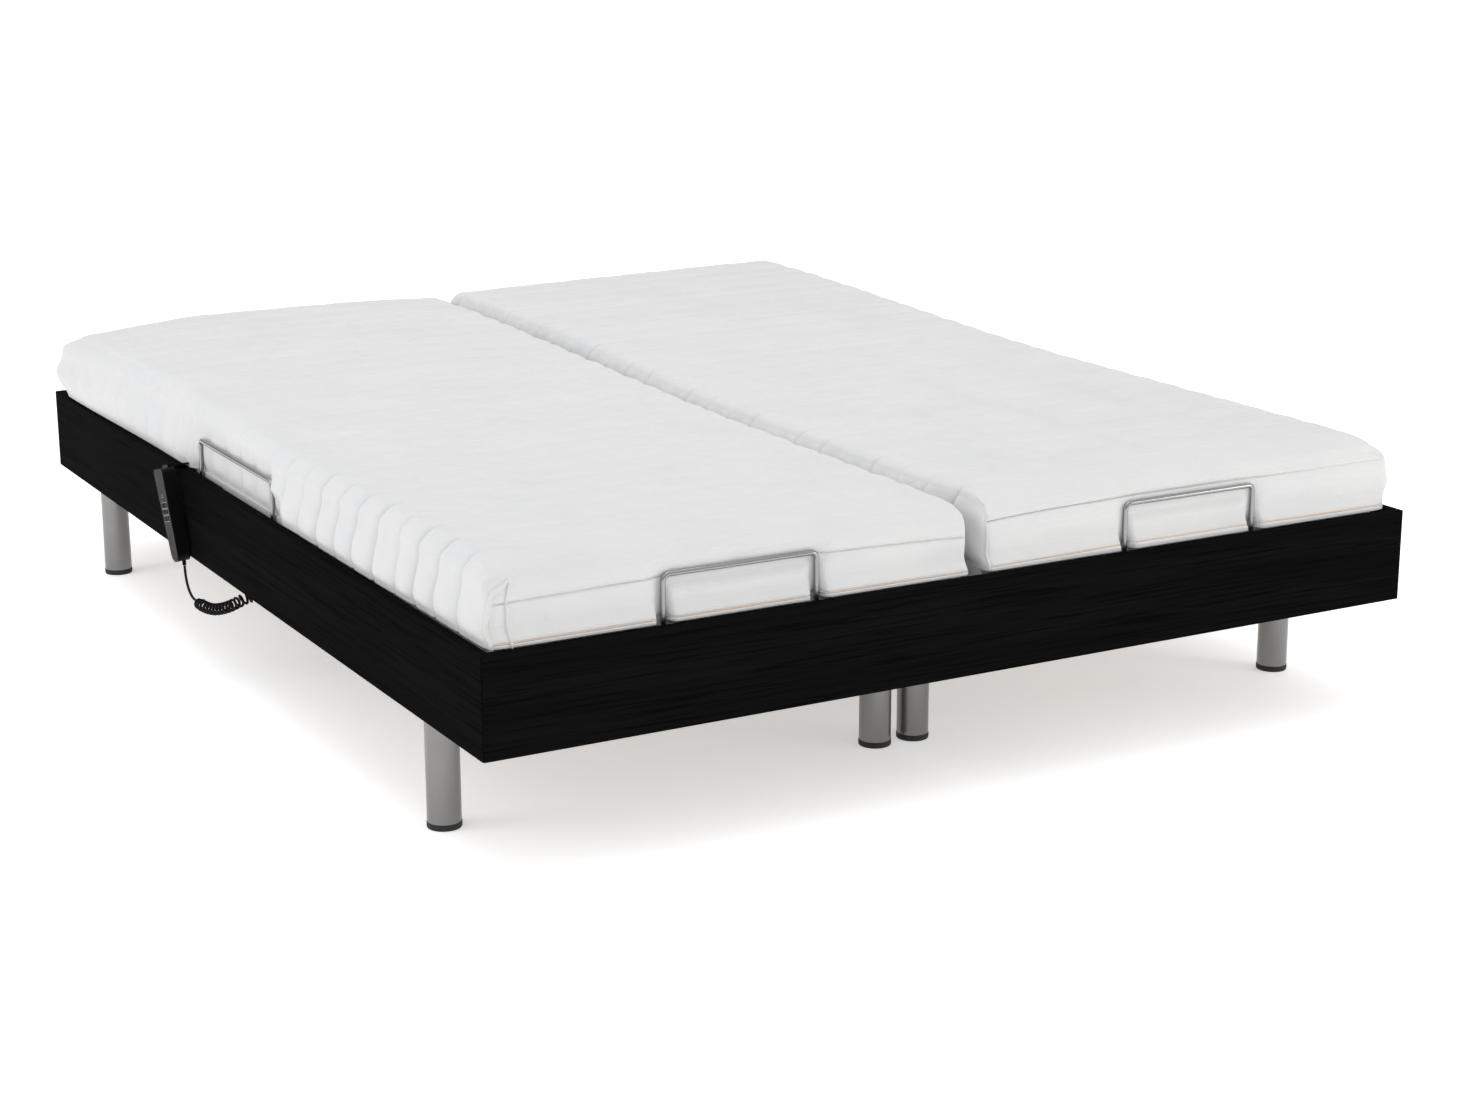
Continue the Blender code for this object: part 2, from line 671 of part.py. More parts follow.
    def lift_shaft(self, name, y, outward):
        """A torque tube whose roller arms lift the section and whose lever the drive pushes."""
        parent = pivot(f"{self.name}_{name}_shaft_axis", self.at(0, y, SHAFT_Z))
        tube_end = MEMBER_INNER - 0.004
        pieces = [self.round(-tube_end, tube_end, y, SHAFT_Z, SHAFT_RADIUS)]
        for s in (-1, 1):
            pieces.append(self.round(s * (tube_end - 0.01), s * JOURNAL_END, y, SHAFT_Z, JOURNAL_RADIUS))
        tip_y = y + outward * ARM_LENGTH * math.cos(ARM_REST_ANGLE)
        tip_z = SHAFT_Z + ARM_LENGTH * math.sin(ARM_REST_ANGLE)
        lean = Matrix.Rotation(outward * ARM_REST_ANGLE, 4, "X")
        for s in (-1, 1):
            arm = box((-0.004, 0, ARM_LOW), (0.004, outward * ARM_LENGTH, ARM_HIGH))
            arm.data.transform(Matrix.Translation(self.at(s * ARM_U, y, SHAFT_Z)) @ lean)
            roller = self.round(s * (ARM_U - 0.010), s * (ARM_U + 0.010), tip_y, tip_z, ROLLER_RADIUS)
            pieces += [arm, roller]
        pieces.append(self.bar((-0.012, y - 0.006, SHAFT_Z - LEVER_LENGTH), (0.012, y + 0.006, SHAFT_Z)))
        node(f"{self.name}_{name}_lift_shaft", joined(pieces), "grey_steel", parent)


# ---------------------------------------------------------------- handset and its cord


def handset_frame(tilt=HANDSET_TILT):
    """Handset axes: x across it, y down along it and z out of its key face, from its back's top middle."""
    across = Vector((0, math.cos(HANDSET_LEAN), -math.sin(HANDSET_LEAN)))
    down = Vector((0, -math.sin(HANDSET_LEAN), -math.cos(HANDSET_LEAN)))
    out = Vector((-1, 0, 0))
    down, out = (
        down * math.cos(tilt) - out * math.sin(tilt),
        out * math.cos(tilt) + down * math.sin(tilt),
    )
    frame = Matrix((across, down, out)).transposed().to_4x4()
    frame.translation = HANDSET_TOP
    return frame


def handset_outline(inset):
    """Wider at the top, with a round chin; inset moves the whole outline inwards."""
    top, bottom = HANDSET_WIDTH_TOP / 2 - inset, HANDSET_WIDTH_BOTTOM / 2 - inset
    length = HANDSET_LENGTH - inset
    corner = 0.008 - min(inset, 0.004)
    points = arc((top - corner, inset + corner), corner, -90, 0, 4)
    points += [(x, length - 0.8 * (bottom - y)) for x, y in arc((0, 0), bottom, 0, 180, 12)]
    points += [(-x, y) for x, y in reversed(arc((top - corner, inset + corner), corner, -90, 0, 4))]
    return points


def build_handset():
    frame = handset_frame()
    body = pivot("handset_hook_rest", HANDSET_TOP)
    middle = HANDSET_DEPTH / 2

    def layer(inset, low, high):
        middle_plane = frame @ Matrix.Translation((0, 0, (low + high) / 2))
        return plate(handset_outline(inset), high - low, middle_plane)

    gap = 0.00015
    back = layer(0, 0, middle - gap)
    round_edges(back, 0.0022, 2)
    room = layer(SHELL_WALL, SHELL_WALL, middle + 0.003)
    hook = build_hook()
    cord_start = Vector(CORD_ROUTE[0])
    upwards = (cord_start - Vector(CORD_ROUTE[1])).normalized()
    relief_ends = [cord_start + upwards * reach for reach in (RELIEF_LENGTH, 0.0008)]
    relief = cylinder(*relief_ends, RELIEF_RADIUS, 16)
    node("handset_back_shell", cut(joined([back, hook, relief]), [room]), "black_plastic", body)

    front = layer(0, middle + gap, HANDSET_DEPTH)
    round_edges(front, 0.0028, 3)
    cutters = [layer(SHELL_WALL, middle - 0.003, HANDSET_DEPTH - SHELL_WALL)]
    key_places = []
    for row in range(KEY_ROWS):
        for column in (-1, 1):
            key_places.append((column * KEY_PITCH[0] / 2, KEY_FIRST + row * KEY_PITCH[1]))
    for x, y in key_places:
        half = (KEY_SIZE[0] / 2 + KEY_GAP, KEY_SIZE[1] / 2 + KEY_GAP)
        low = (x - half[0], y - half[1], middle + 0.002)
        hole = box(low, (x + half[0], y + half[1], HANDSET_DEPTH + 0.01))
        hole.data.transform(frame)
        cutters.append(hole)
    node("handset_front_shell", cut(front, cutters), "black_plastic", body)

    board_low, board_high = 0.0040, 0.0056
    board = layer(0.0045, board_low, board_high)
    node("handset_circuit_board", board, "board_green", body)

    for number, (x, y) in enumerate(key_places, 1):
        half = (KEY_SIZE[0] / 2, KEY_SIZE[1] / 2)
        top = HANDSET_DEPTH + KEY_STANDS_OUT
        low = (x - half[0], y - half[1], board_high + KEY_ABOVE_BOARD)
        key = box(low, (x + half[0], y + half[1], top))
        key.data.transform(frame)
        round_edges(key, 0.0008, 2)
        slide = pivot(f"key_{number}_slide", frame @ Vector((x, y, 0)), body)
        node(f"handset_key_{number}", key, "key_plastic", slide)


def build_hook():
    """A bent strap from the handset's top, over the left board and down its inner face."""
    frame = handset_frame(tilt=0.0)
    half = HOOK_WIDTH / 2
    drop = half * math.sin(HANDSET_LEAN)
    under = BOARD_HIGH + 0.0004 + drop
    inner_face = -SURROUND_WIDTH / 2 + BOARD
    # In this frame y runs down the strap's middle line and z runs out, to -X.
    down = -(under - HANDSET_TOP.z) / math.cos(HANDSET_LEAN)
    reach = HANDSET_TOP.x - inner_face
    thick = HOOK_THICKNESS
    lip = reach - 0.0008
    near, far, sunk = 0.0095, 0.0030, 0.0018
    outline = [
        (near, sunk),
        (far, sunk),
        (far, down),
        (lip, down),
        (lip, down + HOOK_LIP),
        (lip - thick, down + HOOK_LIP),
        (lip - thick, down - thick),
        (near, down - thick),
    ]
    turn = Matrix(((0, 0, 1, 0), (0, 1, 0, 0), (1, 0, 0, 0), (0, 0, 0, 1)))
    return plate(outline, HOOK_WIDTH, frame @ turn)


def build_cord():
    cord = rod(smooth_route(CORD_ROUTE, CORD_RADIUS * 2.2), CORD_RADIUS)
    node("handset_cord", cord, "black_plastic")
    coil = rod(smooth_route(COIL_ROUTE, COIL_RADIUS * 0.8), COIL_RADIUS, 3)
    node("handset_cord_coil", coil, "black_plastic")
    control = box(*CONTROL_BOX)
    round_edges(control, 0.004, 2)
    entry = Vector(COIL_ROUTE[-1])
    inwards = (entry - Vector(COIL_ROUTE[-2])).normalized()
    gland = cylinder(entry + inwards * 0.0006, entry + inwards * GLAND_LENGTH, GLAND_RADIUS, 16)
    node("control_box", joined([control, gland]), "drive_plastic")


build_surround()
for side in (-1, 1):
    Base(side)
build_handset()
build_cord()
for made in bpy.data.objects:
    if made.parent is None:
        made.location.x += BED_SHIFT
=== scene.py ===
"""Adjustable double bed base with two mattresses: the looks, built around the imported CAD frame."""

import math

import bmesh
import bpy
import numpy as np
from mathutils import Matrix, Vector


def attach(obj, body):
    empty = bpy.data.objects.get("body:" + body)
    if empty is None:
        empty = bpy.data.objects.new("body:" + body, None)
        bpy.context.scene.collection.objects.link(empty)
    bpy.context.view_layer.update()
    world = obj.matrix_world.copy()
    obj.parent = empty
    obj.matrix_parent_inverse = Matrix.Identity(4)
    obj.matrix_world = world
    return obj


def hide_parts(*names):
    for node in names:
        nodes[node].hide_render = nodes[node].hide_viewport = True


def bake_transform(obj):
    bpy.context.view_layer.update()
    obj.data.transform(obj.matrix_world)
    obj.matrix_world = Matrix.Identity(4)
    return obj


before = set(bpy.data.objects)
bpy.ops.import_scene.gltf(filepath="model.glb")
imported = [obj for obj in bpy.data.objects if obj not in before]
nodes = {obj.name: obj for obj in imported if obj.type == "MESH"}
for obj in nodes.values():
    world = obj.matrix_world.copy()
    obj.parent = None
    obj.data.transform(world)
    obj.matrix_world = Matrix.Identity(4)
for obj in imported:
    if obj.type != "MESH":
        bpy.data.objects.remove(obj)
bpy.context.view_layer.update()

# Everything below is built around the bed's own middle, which lies this far to the right of the origin.
BED_SHIFT = Vector((0.018, 0, 0))
SIDES = {"left": -1, "right": 1}
BASE_CENTRE = 0.405
HINGE_Z = 0.265

# ---------------------------------------------------------------- camera


CAMERA_PLACE = Vector((-2.18925, -4.16750, 1.38293))
CAMERA_ANGLES = (-29.2219, 14.8438, -0.138)  # turn from +Y, downward tilt and roll, in degrees
CAMERA_LENS = 65.59
CAMERA_SENSOR = 36.0


def add_camera():
    data = bpy.data.cameras.new("camera")
    data.lens = CAMERA_LENS
    data.sensor_width = CAMERA_SENSOR
    camera = bpy.data.objects.new("camera", data)
    bpy.context.scene.collection.objects.link(camera)
    turn, down, roll = (math.radians(angle) for angle in CAMERA_ANGLES)
    forward = Vector(
        (-math.sin(turn) * math.cos(down), math.cos(turn) * math.cos(down), -math.sin(down))
    )
    right = forward.cross(Vector((0, 0, 1))).normalized()
    up = right.cross(forward)
    right, up = (
        right * math.cos(roll) + up * math.sin(roll),
        up * math.cos(roll) - right * math.sin(roll),
    )
    pose = Matrix((right, up, -forward)).transposed().to_4x4()
    pose.translation = CAMERA_PLACE + BED_SHIFT
    camera.matrix_world = pose
    bpy.context.scene.camera = camera


add_camera()

# ---------------------------------------------------------------- mesh helpers

SHARP_DEGREES = 40.0
MERGE_DISTANCE = 1e-5
FLAT_ANGLE = math.radians(1.0)
BEVEL_ANGLE = math.radians(50.0)


class Shape:
    """Points and faces gathered from several simple forms, each face with its material's number."""

    def __init__(self):
        self.points = []
        self.faces = []
        self.numbers = []

    def add(self, points, faces, number=0):
        start = len(self.points)
        self.points.extend(tuple(point) for point in points)
        self.faces.extend(tuple(start + i for i in face) for face in faces)
        self.numbers.extend([number] * len(faces))

    def piece(self, name, materials, angle=SHARP_DEGREES):
        """An object of the shape, shaded smooth apart from edges sharper than the angle."""
        mesh = bpy.data.meshes.new(name)
        mesh.from_pydata(self.points, [], self.faces)
        for material in materials:
            mesh.materials.append(material)
        mesh.polygons.foreach_set("material_index", self.numbers)
        mesh.validate()
        mesh.shade_smooth()
        mesh.set_sharp_from_angle(angle=math.radians(angle))
        piece = bpy.data.objects.new(name, mesh)
        piece.location = BED_SHIFT
        bpy.context.scene.collection.objects.link(piece)
        return piece


def place(piece, body, slot, *replaced):
    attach(piece, body)
    if replaced:
        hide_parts(*replaced)


def lofted(rings):
    """A closed form through rings of points, all of one count."""
    count = len(rings[0])
    points = [point for ring in rings for point in ring]
    faces = []
    for i in range(len(rings) - 1):
        for k in range(count):
            a, b = i * count + k, i * count + (k + 1) % count
            faces.append((a, b, b + count, a + count))
    faces.append(tuple(reversed(range(count))))
    faces.append(tuple(range((len(rings) - 1) * count, len(rings) * count)))
    return points, faces


def circle(middle, across, other, radius, sides):
    angles = [2 * math.pi * k / sides for k in range(sides)]
    return [middle + (across * math.cos(angle) + other * math.sin(angle)) * radius for angle in angles]


def tube(route, radius, sides=12):
    """A round tube along a list of points; radius is one number or one for each point."""
    route = [Vector(point) for point in route]
    radii = radius if hasattr(radius, "__len__") else [radius] * len(route)
    directions = []
    for i in range(len(route)):
        before, after = route[max(i - 1, 0)], route[min(i + 1, len(route) - 1)]
        directions.append((after - before).normalized())
    across = directions[0].orthogonal().normalized()
    rings = []
    for middle, direction, size in zip(route, directions, radii):
        across = (across - direction * across.dot(direction)).normalized()
        rings.append(circle(middle, across, direction.cross(across), size, sides))
    return lofted(rings)


def turned(profile, base, axis, sides=24):
    """A closed form turned about an axis: profile lists (distance along the axis, radius)."""
    axis = Vector(axis).normalized()
    across = axis.orthogonal().normalized()
    other = axis.cross(across)
    return lofted(
        [circle(Vector(base) + axis * along, across, other, size, sides) for along, size in profile]
    )


def soft_box(low, high, radius, segments=2, axes=None):
    """A box with rounded edges."""
    low, high = Vector(low), Vector(high)
    shape = bmesh.new()
    bmesh.ops.create_cube(shape, size=1.0)
    size = high - low
    bmesh.ops.transform(
        shape, verts=shape.verts, matrix=Matrix.Translation((low + high) / 2) @ Matrix.Diagonal((*size, 1))
    )
    bmesh.ops.bevel(
        shape,
        geom=list(shape.edges),
        offset=min(radius, min(size) * 0.48),
        segments=segments,
        profile=0.5,
        affect="EDGES",
    )
    if axes is not None:
        shape.transform(axes)
    shape.verts.index_update()
    points = [vertex.co.copy() for vertex in shape.verts]
    faces = [tuple(vertex.index for vertex in face.verts) for face in shape.faces]
    shape.free()
    return points, faces


def bent(corners, radius, steps=8):
    """A route through the corners, each inner corner rounded to the radius."""
    corners = [Vector(corner) for corner in corners]
    route = [corners[0]]
    for before, corner, after in zip(corners, corners[1:], corners[2:]):
        start = corner + (before - corner).normalized() * radius
        end = corner + (after - corner).normalized() * radius
        centre = start + end - corner
        for i in range(steps + 1):
            angle = math.pi / 2 * i / steps
            route.append(centre + (start - centre) * math.cos(angle) + (end - centre) * math.sin(angle))
    route.append(corners[-1])
    return route


def smooth_route(points, spacing):
    """Evenly spaced points on a Catmull-Rom curve through the given points."""
    points = [Vector(point) for point in points]
    padded = [2 * points[0] - points[1], *points, 2 * points[-1] - points[-2]]
    fine = []
    for a, b, c, d in zip(padded, padded[1:], padded[2:], padded[3:]):
        for i in range(20):
            t = i / 20
            square = 2 * a - 5 * b + 4 * c - d
            cube = 3 * b - a - 3 * c + d
            fine.append(0.5 * (2 * b + (c - a) * t + square * t**2 + cube * t**3))
    fine.append(points[-1])
    lengths = [0.0]
    for a, b in zip(fine, fine[1:]):
        lengths.append(lengths[-1] + (b - a).length)
    count = max(2, round(lengths[-1] / spacing))
    route, k = [], 0
    for i in range(count + 1):
        target = lengths[-1] * i / count
        while k < len(fine) - 2 and lengths[k + 1] < target:
            k += 1
        share = (target - lengths[k]) / max(lengths[k + 1] - lengths[k], 1e-9)
        route.append(fine[k].lerp(fine[k + 1], share))
    return route


def refined(node, name, width, body, slot, material):
    """A copy of a CAD node with its edges rounded, which then stands for it."""
    mesh = nodes[node].data.copy()
    mesh.name = name
    mesh.materials.clear()
    mesh.materials.append(material)
    piece = bpy.data.objects.new(name, mesh)
    bpy.context.scene.collection.objects.link(piece)
    shape = bmesh.new()
    shape.from_mesh(mesh)
    bmesh.ops.remove_doubles(shape, verts=shape.verts, dist=MERGE_DISTANCE)
    bmesh.ops.dissolve_limit(
        shape, angle_limit=FLAT_ANGLE, verts=shape.verts, edges=shape.edges, delimit=set()
    )
    shape.to_mesh(mesh)
    shape.free()
    bevel = piece.modifiers.new("rounded", "BEVEL")
    bevel.width = width
    bevel.segments = 2
    bevel.limit_method = "ANGLE"
    bevel.angle_limit = BEVEL_ANGLE
    bevel.use_clamp_overlap = True
    graph = bpy.context.evaluated_depsgraph_get()
    rounded = bpy.data.meshes.new_from_object(piece.evaluated_get(graph))
    piece.modifiers.clear()
    piece.data = rounded
    bpy.data.meshes.remove(mesh)
    for polygon in rounded.polygons:
        polygon.material_index = 0
    rounded.shade_smooth()
    rounded.set_sharp_from_angle(angle=math.radians(SHARP_DEGREES))
    place(piece, body, slot, node)


# ---------------------------------------------------------------- materials


class Nodes:
    """A short way to write a material's node tree around its Principled shader."""

    def __init__(self, name, colour, roughness, metallic=0.0, **inputs):
        self.material = bpy.data.materials.new(name)
        self.material.use_nodes = True
        self.tree = self.material.node_tree
        self.shader = self.tree.nodes["Principled BSDF"]
        self.shader.inputs["Base Color"].default_value = (*colour, 1)
        self.shader.inputs["Roughness"].default_value = roughness
        self.shader.inputs["Metallic"].default_value = metallic
        for key, value in inputs.items():
            self.shader.inputs[key.replace("_", " ")].default_value = value
        self.coordinates = self.tree.nodes.new("ShaderNodeTexCoord").outputs["Object"]
        self.height = None

    def node(self, kind, **settings):
        made = self.tree.nodes.new(kind)
        for key, value in settings.items():
            setattr(made, key, value)
        return made

    def link(self, a, b):
        self.tree.links.new(a, b)

    def stretched(self, scale):
        mapping = self.node("ShaderNodeMapping")
        mapping.inputs["Scale"].default_value = scale
        self.link(self.coordinates, mapping.inputs["Vector"])
        return mapping.outputs["Vector"]

    def noise(self, scale, detail=3.0, roughness=0.5, distortion=0.0, vector=None):
        made = self.node("ShaderNodeTexNoise")
        made.inputs["Scale"].default_value = scale
        made.inputs["Detail"].default_value = detail
        made.inputs["Roughness"].default_value = roughness
        made.inputs["Distortion"].default_value = distortion
        self.link(vector or self.coordinates, made.inputs["Vector"])
        return made.outputs["Fac"]

    def wave(self, scale, axis, distortion=0.0):
        made = self.node("ShaderNodeTexWave", wave_type="BANDS", bands_direction=axis)
        made.inputs["Scale"].default_value = scale
        made.inputs["Distortion"].default_value = distortion
        self.link(self.coordinates, made.inputs["Vector"])
        return made.outputs["Fac"]

    def ramp(self, value, low, high, start=0.3, end=0.7):
        """Two colours, or two grey levels, mixed by a value between start and end."""
        made = self.node("ShaderNodeValToRGB")
        made.color_ramp.elements[0].position = start
        made.color_ramp.elements[1].position = end
        for element, level in zip(made.color_ramp.elements, (low, high)):
            element.color = (*level, 1) if hasattr(level, "__len__") else (level, level, level, 1)
        self.link(value, made.inputs["Fac"])
        return made.outputs["Color"]

    def mixed(self, a, b, factor):
        made = self.node("ShaderNodeMix", data_type="RGBA")
        made.clamp_factor = True
        sockets = {s.identifier: s for s in made.inputs}
        for key, value in (("Factor_Float", factor), ("A_Color", a), ("B_Color", b)):
            if isinstance(value, bpy.types.NodeSocket):
                self.link(value, sockets[key])
            elif hasattr(value, "__len__"):
                sockets[key].default_value = (*value, 1)
            else:
                sockets[key].default_value = value
        return {s.identifier: s for s in made.outputs}["Result_Color"]

    def maths(self, how, a, b):
        made = self.node("ShaderNodeMath", operation=how)
        for socket, value in zip(made.inputs, (a, b)):
            if isinstance(value, bpy.types.NodeSocket):
                self.link(value, socket)
            else:
                socket.default_value = value
        return made.outputs[0]

    def colour(self, socket):
        self.link(socket, self.shader.inputs["Base Color"])

    def rough(self, value, low, high):
        made = self.node("ShaderNodeMapRange")
        made.inputs["To Min"].default_value = low
        made.inputs["To Max"].default_value = high
        self.link(value, made.inputs["Value"])
        self.link(made.outputs["Result"], self.shader.inputs["Roughness"])

    def bump(self, value, distance, strength=1.0):
        made = self.node("ShaderNodeBump")
        made.inputs["Distance"].default_value = distance
        made.inputs["Strength"].default_value = strength
        self.link(value, made.inputs["Height"])
        if self.height is not None:
            self.link(self.height, made.inputs["Normal"])
        self.height = made.outputs["Normal"]
        self.link(self.height, self.shader.inputs["Normal"])


def stained_wood(name, along):
    """Near-black stained ash: fine open grain that runs along one axis."""
    look = Nodes(name, (0.004, 0.004, 0.004), 0.5, IOR=1.12, Specular_IOR_Level=0.012)
    fine = [260.0, 260.0, 260.0]
    fine["XYZ".index(along)] = 5.0
    broad = [26.0, 26.0, 26.0]
    broad["XYZ".index(along)] = 1.1
    figure = look.noise(1.0, 4.0, 0.55, 0.6, look.stretched(broad))
    pores = look.noise(1.0, 2.0, 0.6, 0.0, look.stretched(fine))
    wood = look.ramp(figure, (0.0042, 0.0041, 0.0041), (0.0068, 0.0066, 0.0064), 0.32, 0.72)
    open_pores = look.ramp(pores, 0.0, 1.0, 0.36, 0.50)
    look.colour(look.mixed((0.0028, 0.0028, 0.0029), wood, open_pores))
    look.rough(figure, 0.42, 0.58)
    look.bump(open_pores, 0.0003, 0.8)
    look.bump(figure, 0.0006, 0.5)
    return look.material


def quilted_knit():
    """White stretch knit: fine courses, small stitch relief and a slight cloudiness."""
    look = Nodes("mattress_knit", (0.685, 0.685, 0.685), 0.86, Specular_IOR_Level=0.2)
    look.shader.inputs["Sheen Weight"].default_value = 0.12
    look.shader.inputs["Sheen Roughness"].default_value = 0.45
    clouds = look.noise(7.0, 4.0, 0.55)
    look.colour(look.ramp(clouds, (0.675, 0.677, 0.683), (0.705, 0.704, 0.700), 0.30, 0.70))
    course = look.wave(210.0, "Y", 1.2)
    rib = look.wave(190.0, "X", 1.2)
    upright = look.wave(190.0, "Z", 1.2)
    knit = look.maths("MULTIPLY", look.maths("ADD", rib, upright), course)
    look.bump(knit, 0.0005, 0.35)
    look.bump(look.noise(95.0, 3.0, 0.6), 0.0012, 0.35)
    look.bump(look.noise(16.0, 3.0, 0.5), 0.004, 0.28)
    look.rough(clouds, 0.80, 0.92)
    return look.material


def tape(name, darker, lighter):
    look = Nodes(name, lighter, 0.8, Specular_IOR_Level=0.25)
    twill = look.wave(420.0, "DIAGONAL", 0.6)
    look.colour(look.ramp(twill, darker, lighter, 0.1, 0.7))
    look.bump(twill, 0.0004, 0.5)
    look.bump(look.noise(60.0, 3.0), 0.001, 0.3)
    return look.material


def satin_metal(name, colour, roughness, metallic=1.0, brushed=None, grain=0.0):
    look = Nodes(name, colour, roughness, metallic)
    scale = [70.0, 70.0, 70.0]
    if brushed:
        scale = [900.0, 900.0, 900.0]
        scale["XYZ".index(brushed)] = 12.0
    fine = look.noise(1.0, 4.0, 0.6, 0.0, look.stretched(scale))
    patches = look.noise(9.0, 3.0, 0.5)
    darker = tuple(level * 0.86 for level in colour)
    look.colour(look.mixed(darker, colour, look.ramp(patches, 0.0, 1.0, 0.25, 0.75)))
    look.rough(fine, max(roughness - 0.07, 0.04), roughness + 0.08)
    look.bump(fine, 0.0002 if brushed else 0.0003, grain or 0.2)
    return look.material


def powder_coat(name, colour):
    look = Nodes(name, colour, 0.48, 0.0, Specular_IOR_Level=0.45)
    orange_peel = look.noise(420.0, 2.0, 0.5)
    dust = look.noise(13.0, 5.0, 0.6)
    lighter = tuple(min(level * 1.25 + 0.01, 1) for level in colour)
    look.colour(look.mixed(colour, lighter, look.ramp(dust, 0.0, 1.0, 0.45, 0.8)))
    look.rough(orange_peel, 0.38, 0.56)
    look.bump(orange_peel, 0.0003, 0.5)
    return look.material


def moulded(name, colour, roughness=0.45, spark=600.0, depth=0.0002, specular=0.4):
    look = Nodes(name, colour, roughness, 0.0, Specular_IOR_Level=specular)
    spots = look.noise(spark, 2.0, 0.6)
    wear = look.noise(40.0, 4.0, 0.6)
    lighter = tuple(min(level * 1.6, 1) for level in colour)
    look.colour(look.mixed(colour, lighter, look.ramp(wear, 0.0, 1.0, 0.5, 0.8)))
    look.rough(wear, max(roughness - 0.08, 0.05), roughness + 0.12)
    look.bump(spots, depth, 0.6)
    return look.material


def beech():
    look = Nodes("beech_veneer", (0.55, 0.36, 0.20), 0.42, Specular_IOR_Level=0.4)
    figure = look.noise(1.0, 5.0, 0.6, 1.0, look.stretched((2.2, 46.0, 46.0)))
    flecks = look.noise(1.0, 2.0, 0.5, 0.0, look.stretched((40.0, 520.0, 520.0)))
    wood = look.ramp(figure, (0.42, 0.255, 0.13), (0.64, 0.44, 0.26), 0.28, 0.72)
    look.colour(look.mixed((0.33, 0.18, 0.085), wood, look.ramp(flecks, 0.0, 1.0, 0.30, 0.46)))
    look.rough(figure, 0.36, 0.52)
    look.bump(flecks, 0.0002, 0.5)
    plies = look.wave(330.0, "Z", 0.2)
    look.bump(plies, 0.0001, 0.4)
    return look.material


def board_green():
    look = Nodes("circuit_laminate", (0.02, 0.11, 0.05), 0.35, Specular_IOR_Level=0.5)
    tracks = look.node("ShaderNodeTexBrick")
    tracks.inputs["Scale"].default_value = 240.0
    tracks.inputs["Mortar Size"].default_value = 0.03
    look.link(look.coordinates, tracks.inputs["Vector"])
    copper = look.ramp(tracks.outputs["Fac"], (0.02, 0.11, 0.05), (0.06, 0.22, 0.10), 0.2, 0.8)
    look.colour(copper)
    look.bump(tracks.outputs["Fac"], 0.0001, 0.5)
    return look.material


wood_along_y = stained_wood("black_wood_lengthways", "Y")
wood_along_x = stained_wood("black_wood_crossways", "X")
knit = quilted_knit()
piping = tape("mattress_piping", (0.66, 0.66, 0.64), (0.76, 0.76, 0.74))
# The low binding bead's tan colour, darker than the piping, is painted shade: it stands in for the
# warm-tinted shade below the foot panel's low seam.
binding_painted_shade = tape("mattress_binding_painted_shade", (0.60, 0.49, 0.41), (0.72, 0.61, 0.52))
leg_paint = satin_metal("leg_satin_silver", (0.25, 0.246, 0.239), 0.30, 0.88, "Z", 0.15)
leg_rubber = moulded("leg_cap_rubber", (0.012, 0.012, 0.012), 0.62)
rod_chrome = satin_metal("rod_dark_chrome", (0.33, 0.33, 0.335), 0.24, 1.0)
zinc = satin_metal("zinc_plate", (0.62, 0.61, 0.58), 0.34, 1.0)
steel_paint = powder_coat("grey_powder_coat", (0.115, 0.118, 0.122))
slat_wood = beech()
holder_rubber = moulded("holder_rubber", (0.016, 0.016, 0.017), 0.6)
drive_shell = moulded("drive_shell", (0.035, 0.036, 0.038), 0.5, 380.0, 0.0003)
motor_shell = moulded("motor_shell", (0.018, 0.018, 0.019), 0.42)
handset_shell = moulded("handset_shell", (0.0035, 0.0033, 0.0033), 0.40, 900.0, 0.0001, 0.06)
key_rubber = moulded("key_rubber", (0.009, 0.009, 0.010), 0.5, 900.0, 0.0001, 0.06)
key_print = moulded("key_print", (0.50, 0.50, 0.52), 0.5, 900.0, 0.00005)
mark_blue = moulded("mark_blue", (0.03, 0.10, 0.55), 0.4, 900.0, 0.00005)
cord_rubber = moulded("cord_rubber", (0.006, 0.006, 0.0065), 0.45, 700.0, 0.0001, 0.12)
laminate = board_green()

# ---------------------------------------------------------------- handset cord

CORD_RADIUS = 0.0023
CORD_ROUTE = (
    (-0.8300, 0.2165, 0.1635),
    (-0.8310, 0.2110, 0.1500),
    (-0.8318, 0.2020, 0.1360),
    (-0.8322, 0.1890, 0.1240),
    (-0.8320, 0.1730, 0.1165),
    (-0.8312, 0.1560, 0.1145),
)
COIL_ROUTE = (
    (-0.8308, 0.1500, 0.1140),
    (-0.8280, 0.1200, 0.1125),
    (-0.8210, 0.0880, 0.1150),
    (-0.8120, 0.0500, 0.1270),
    (-0.8010, 0.0250, 0.1400),
    (-0.7870, 0.0150, 0.1490),
    (-0.7730, 0.0120, 0.1515),
)
COIL_TURNS = 16
COIL_MEAN_RADIUS = 0.0085
COIL_OPENS = 0.9
COIL_CLOSES = 0.7
POINTS_PER_TURN = 18
STRAIGHT_STEP = 0.0045
AXIS_STEP = 0.0012


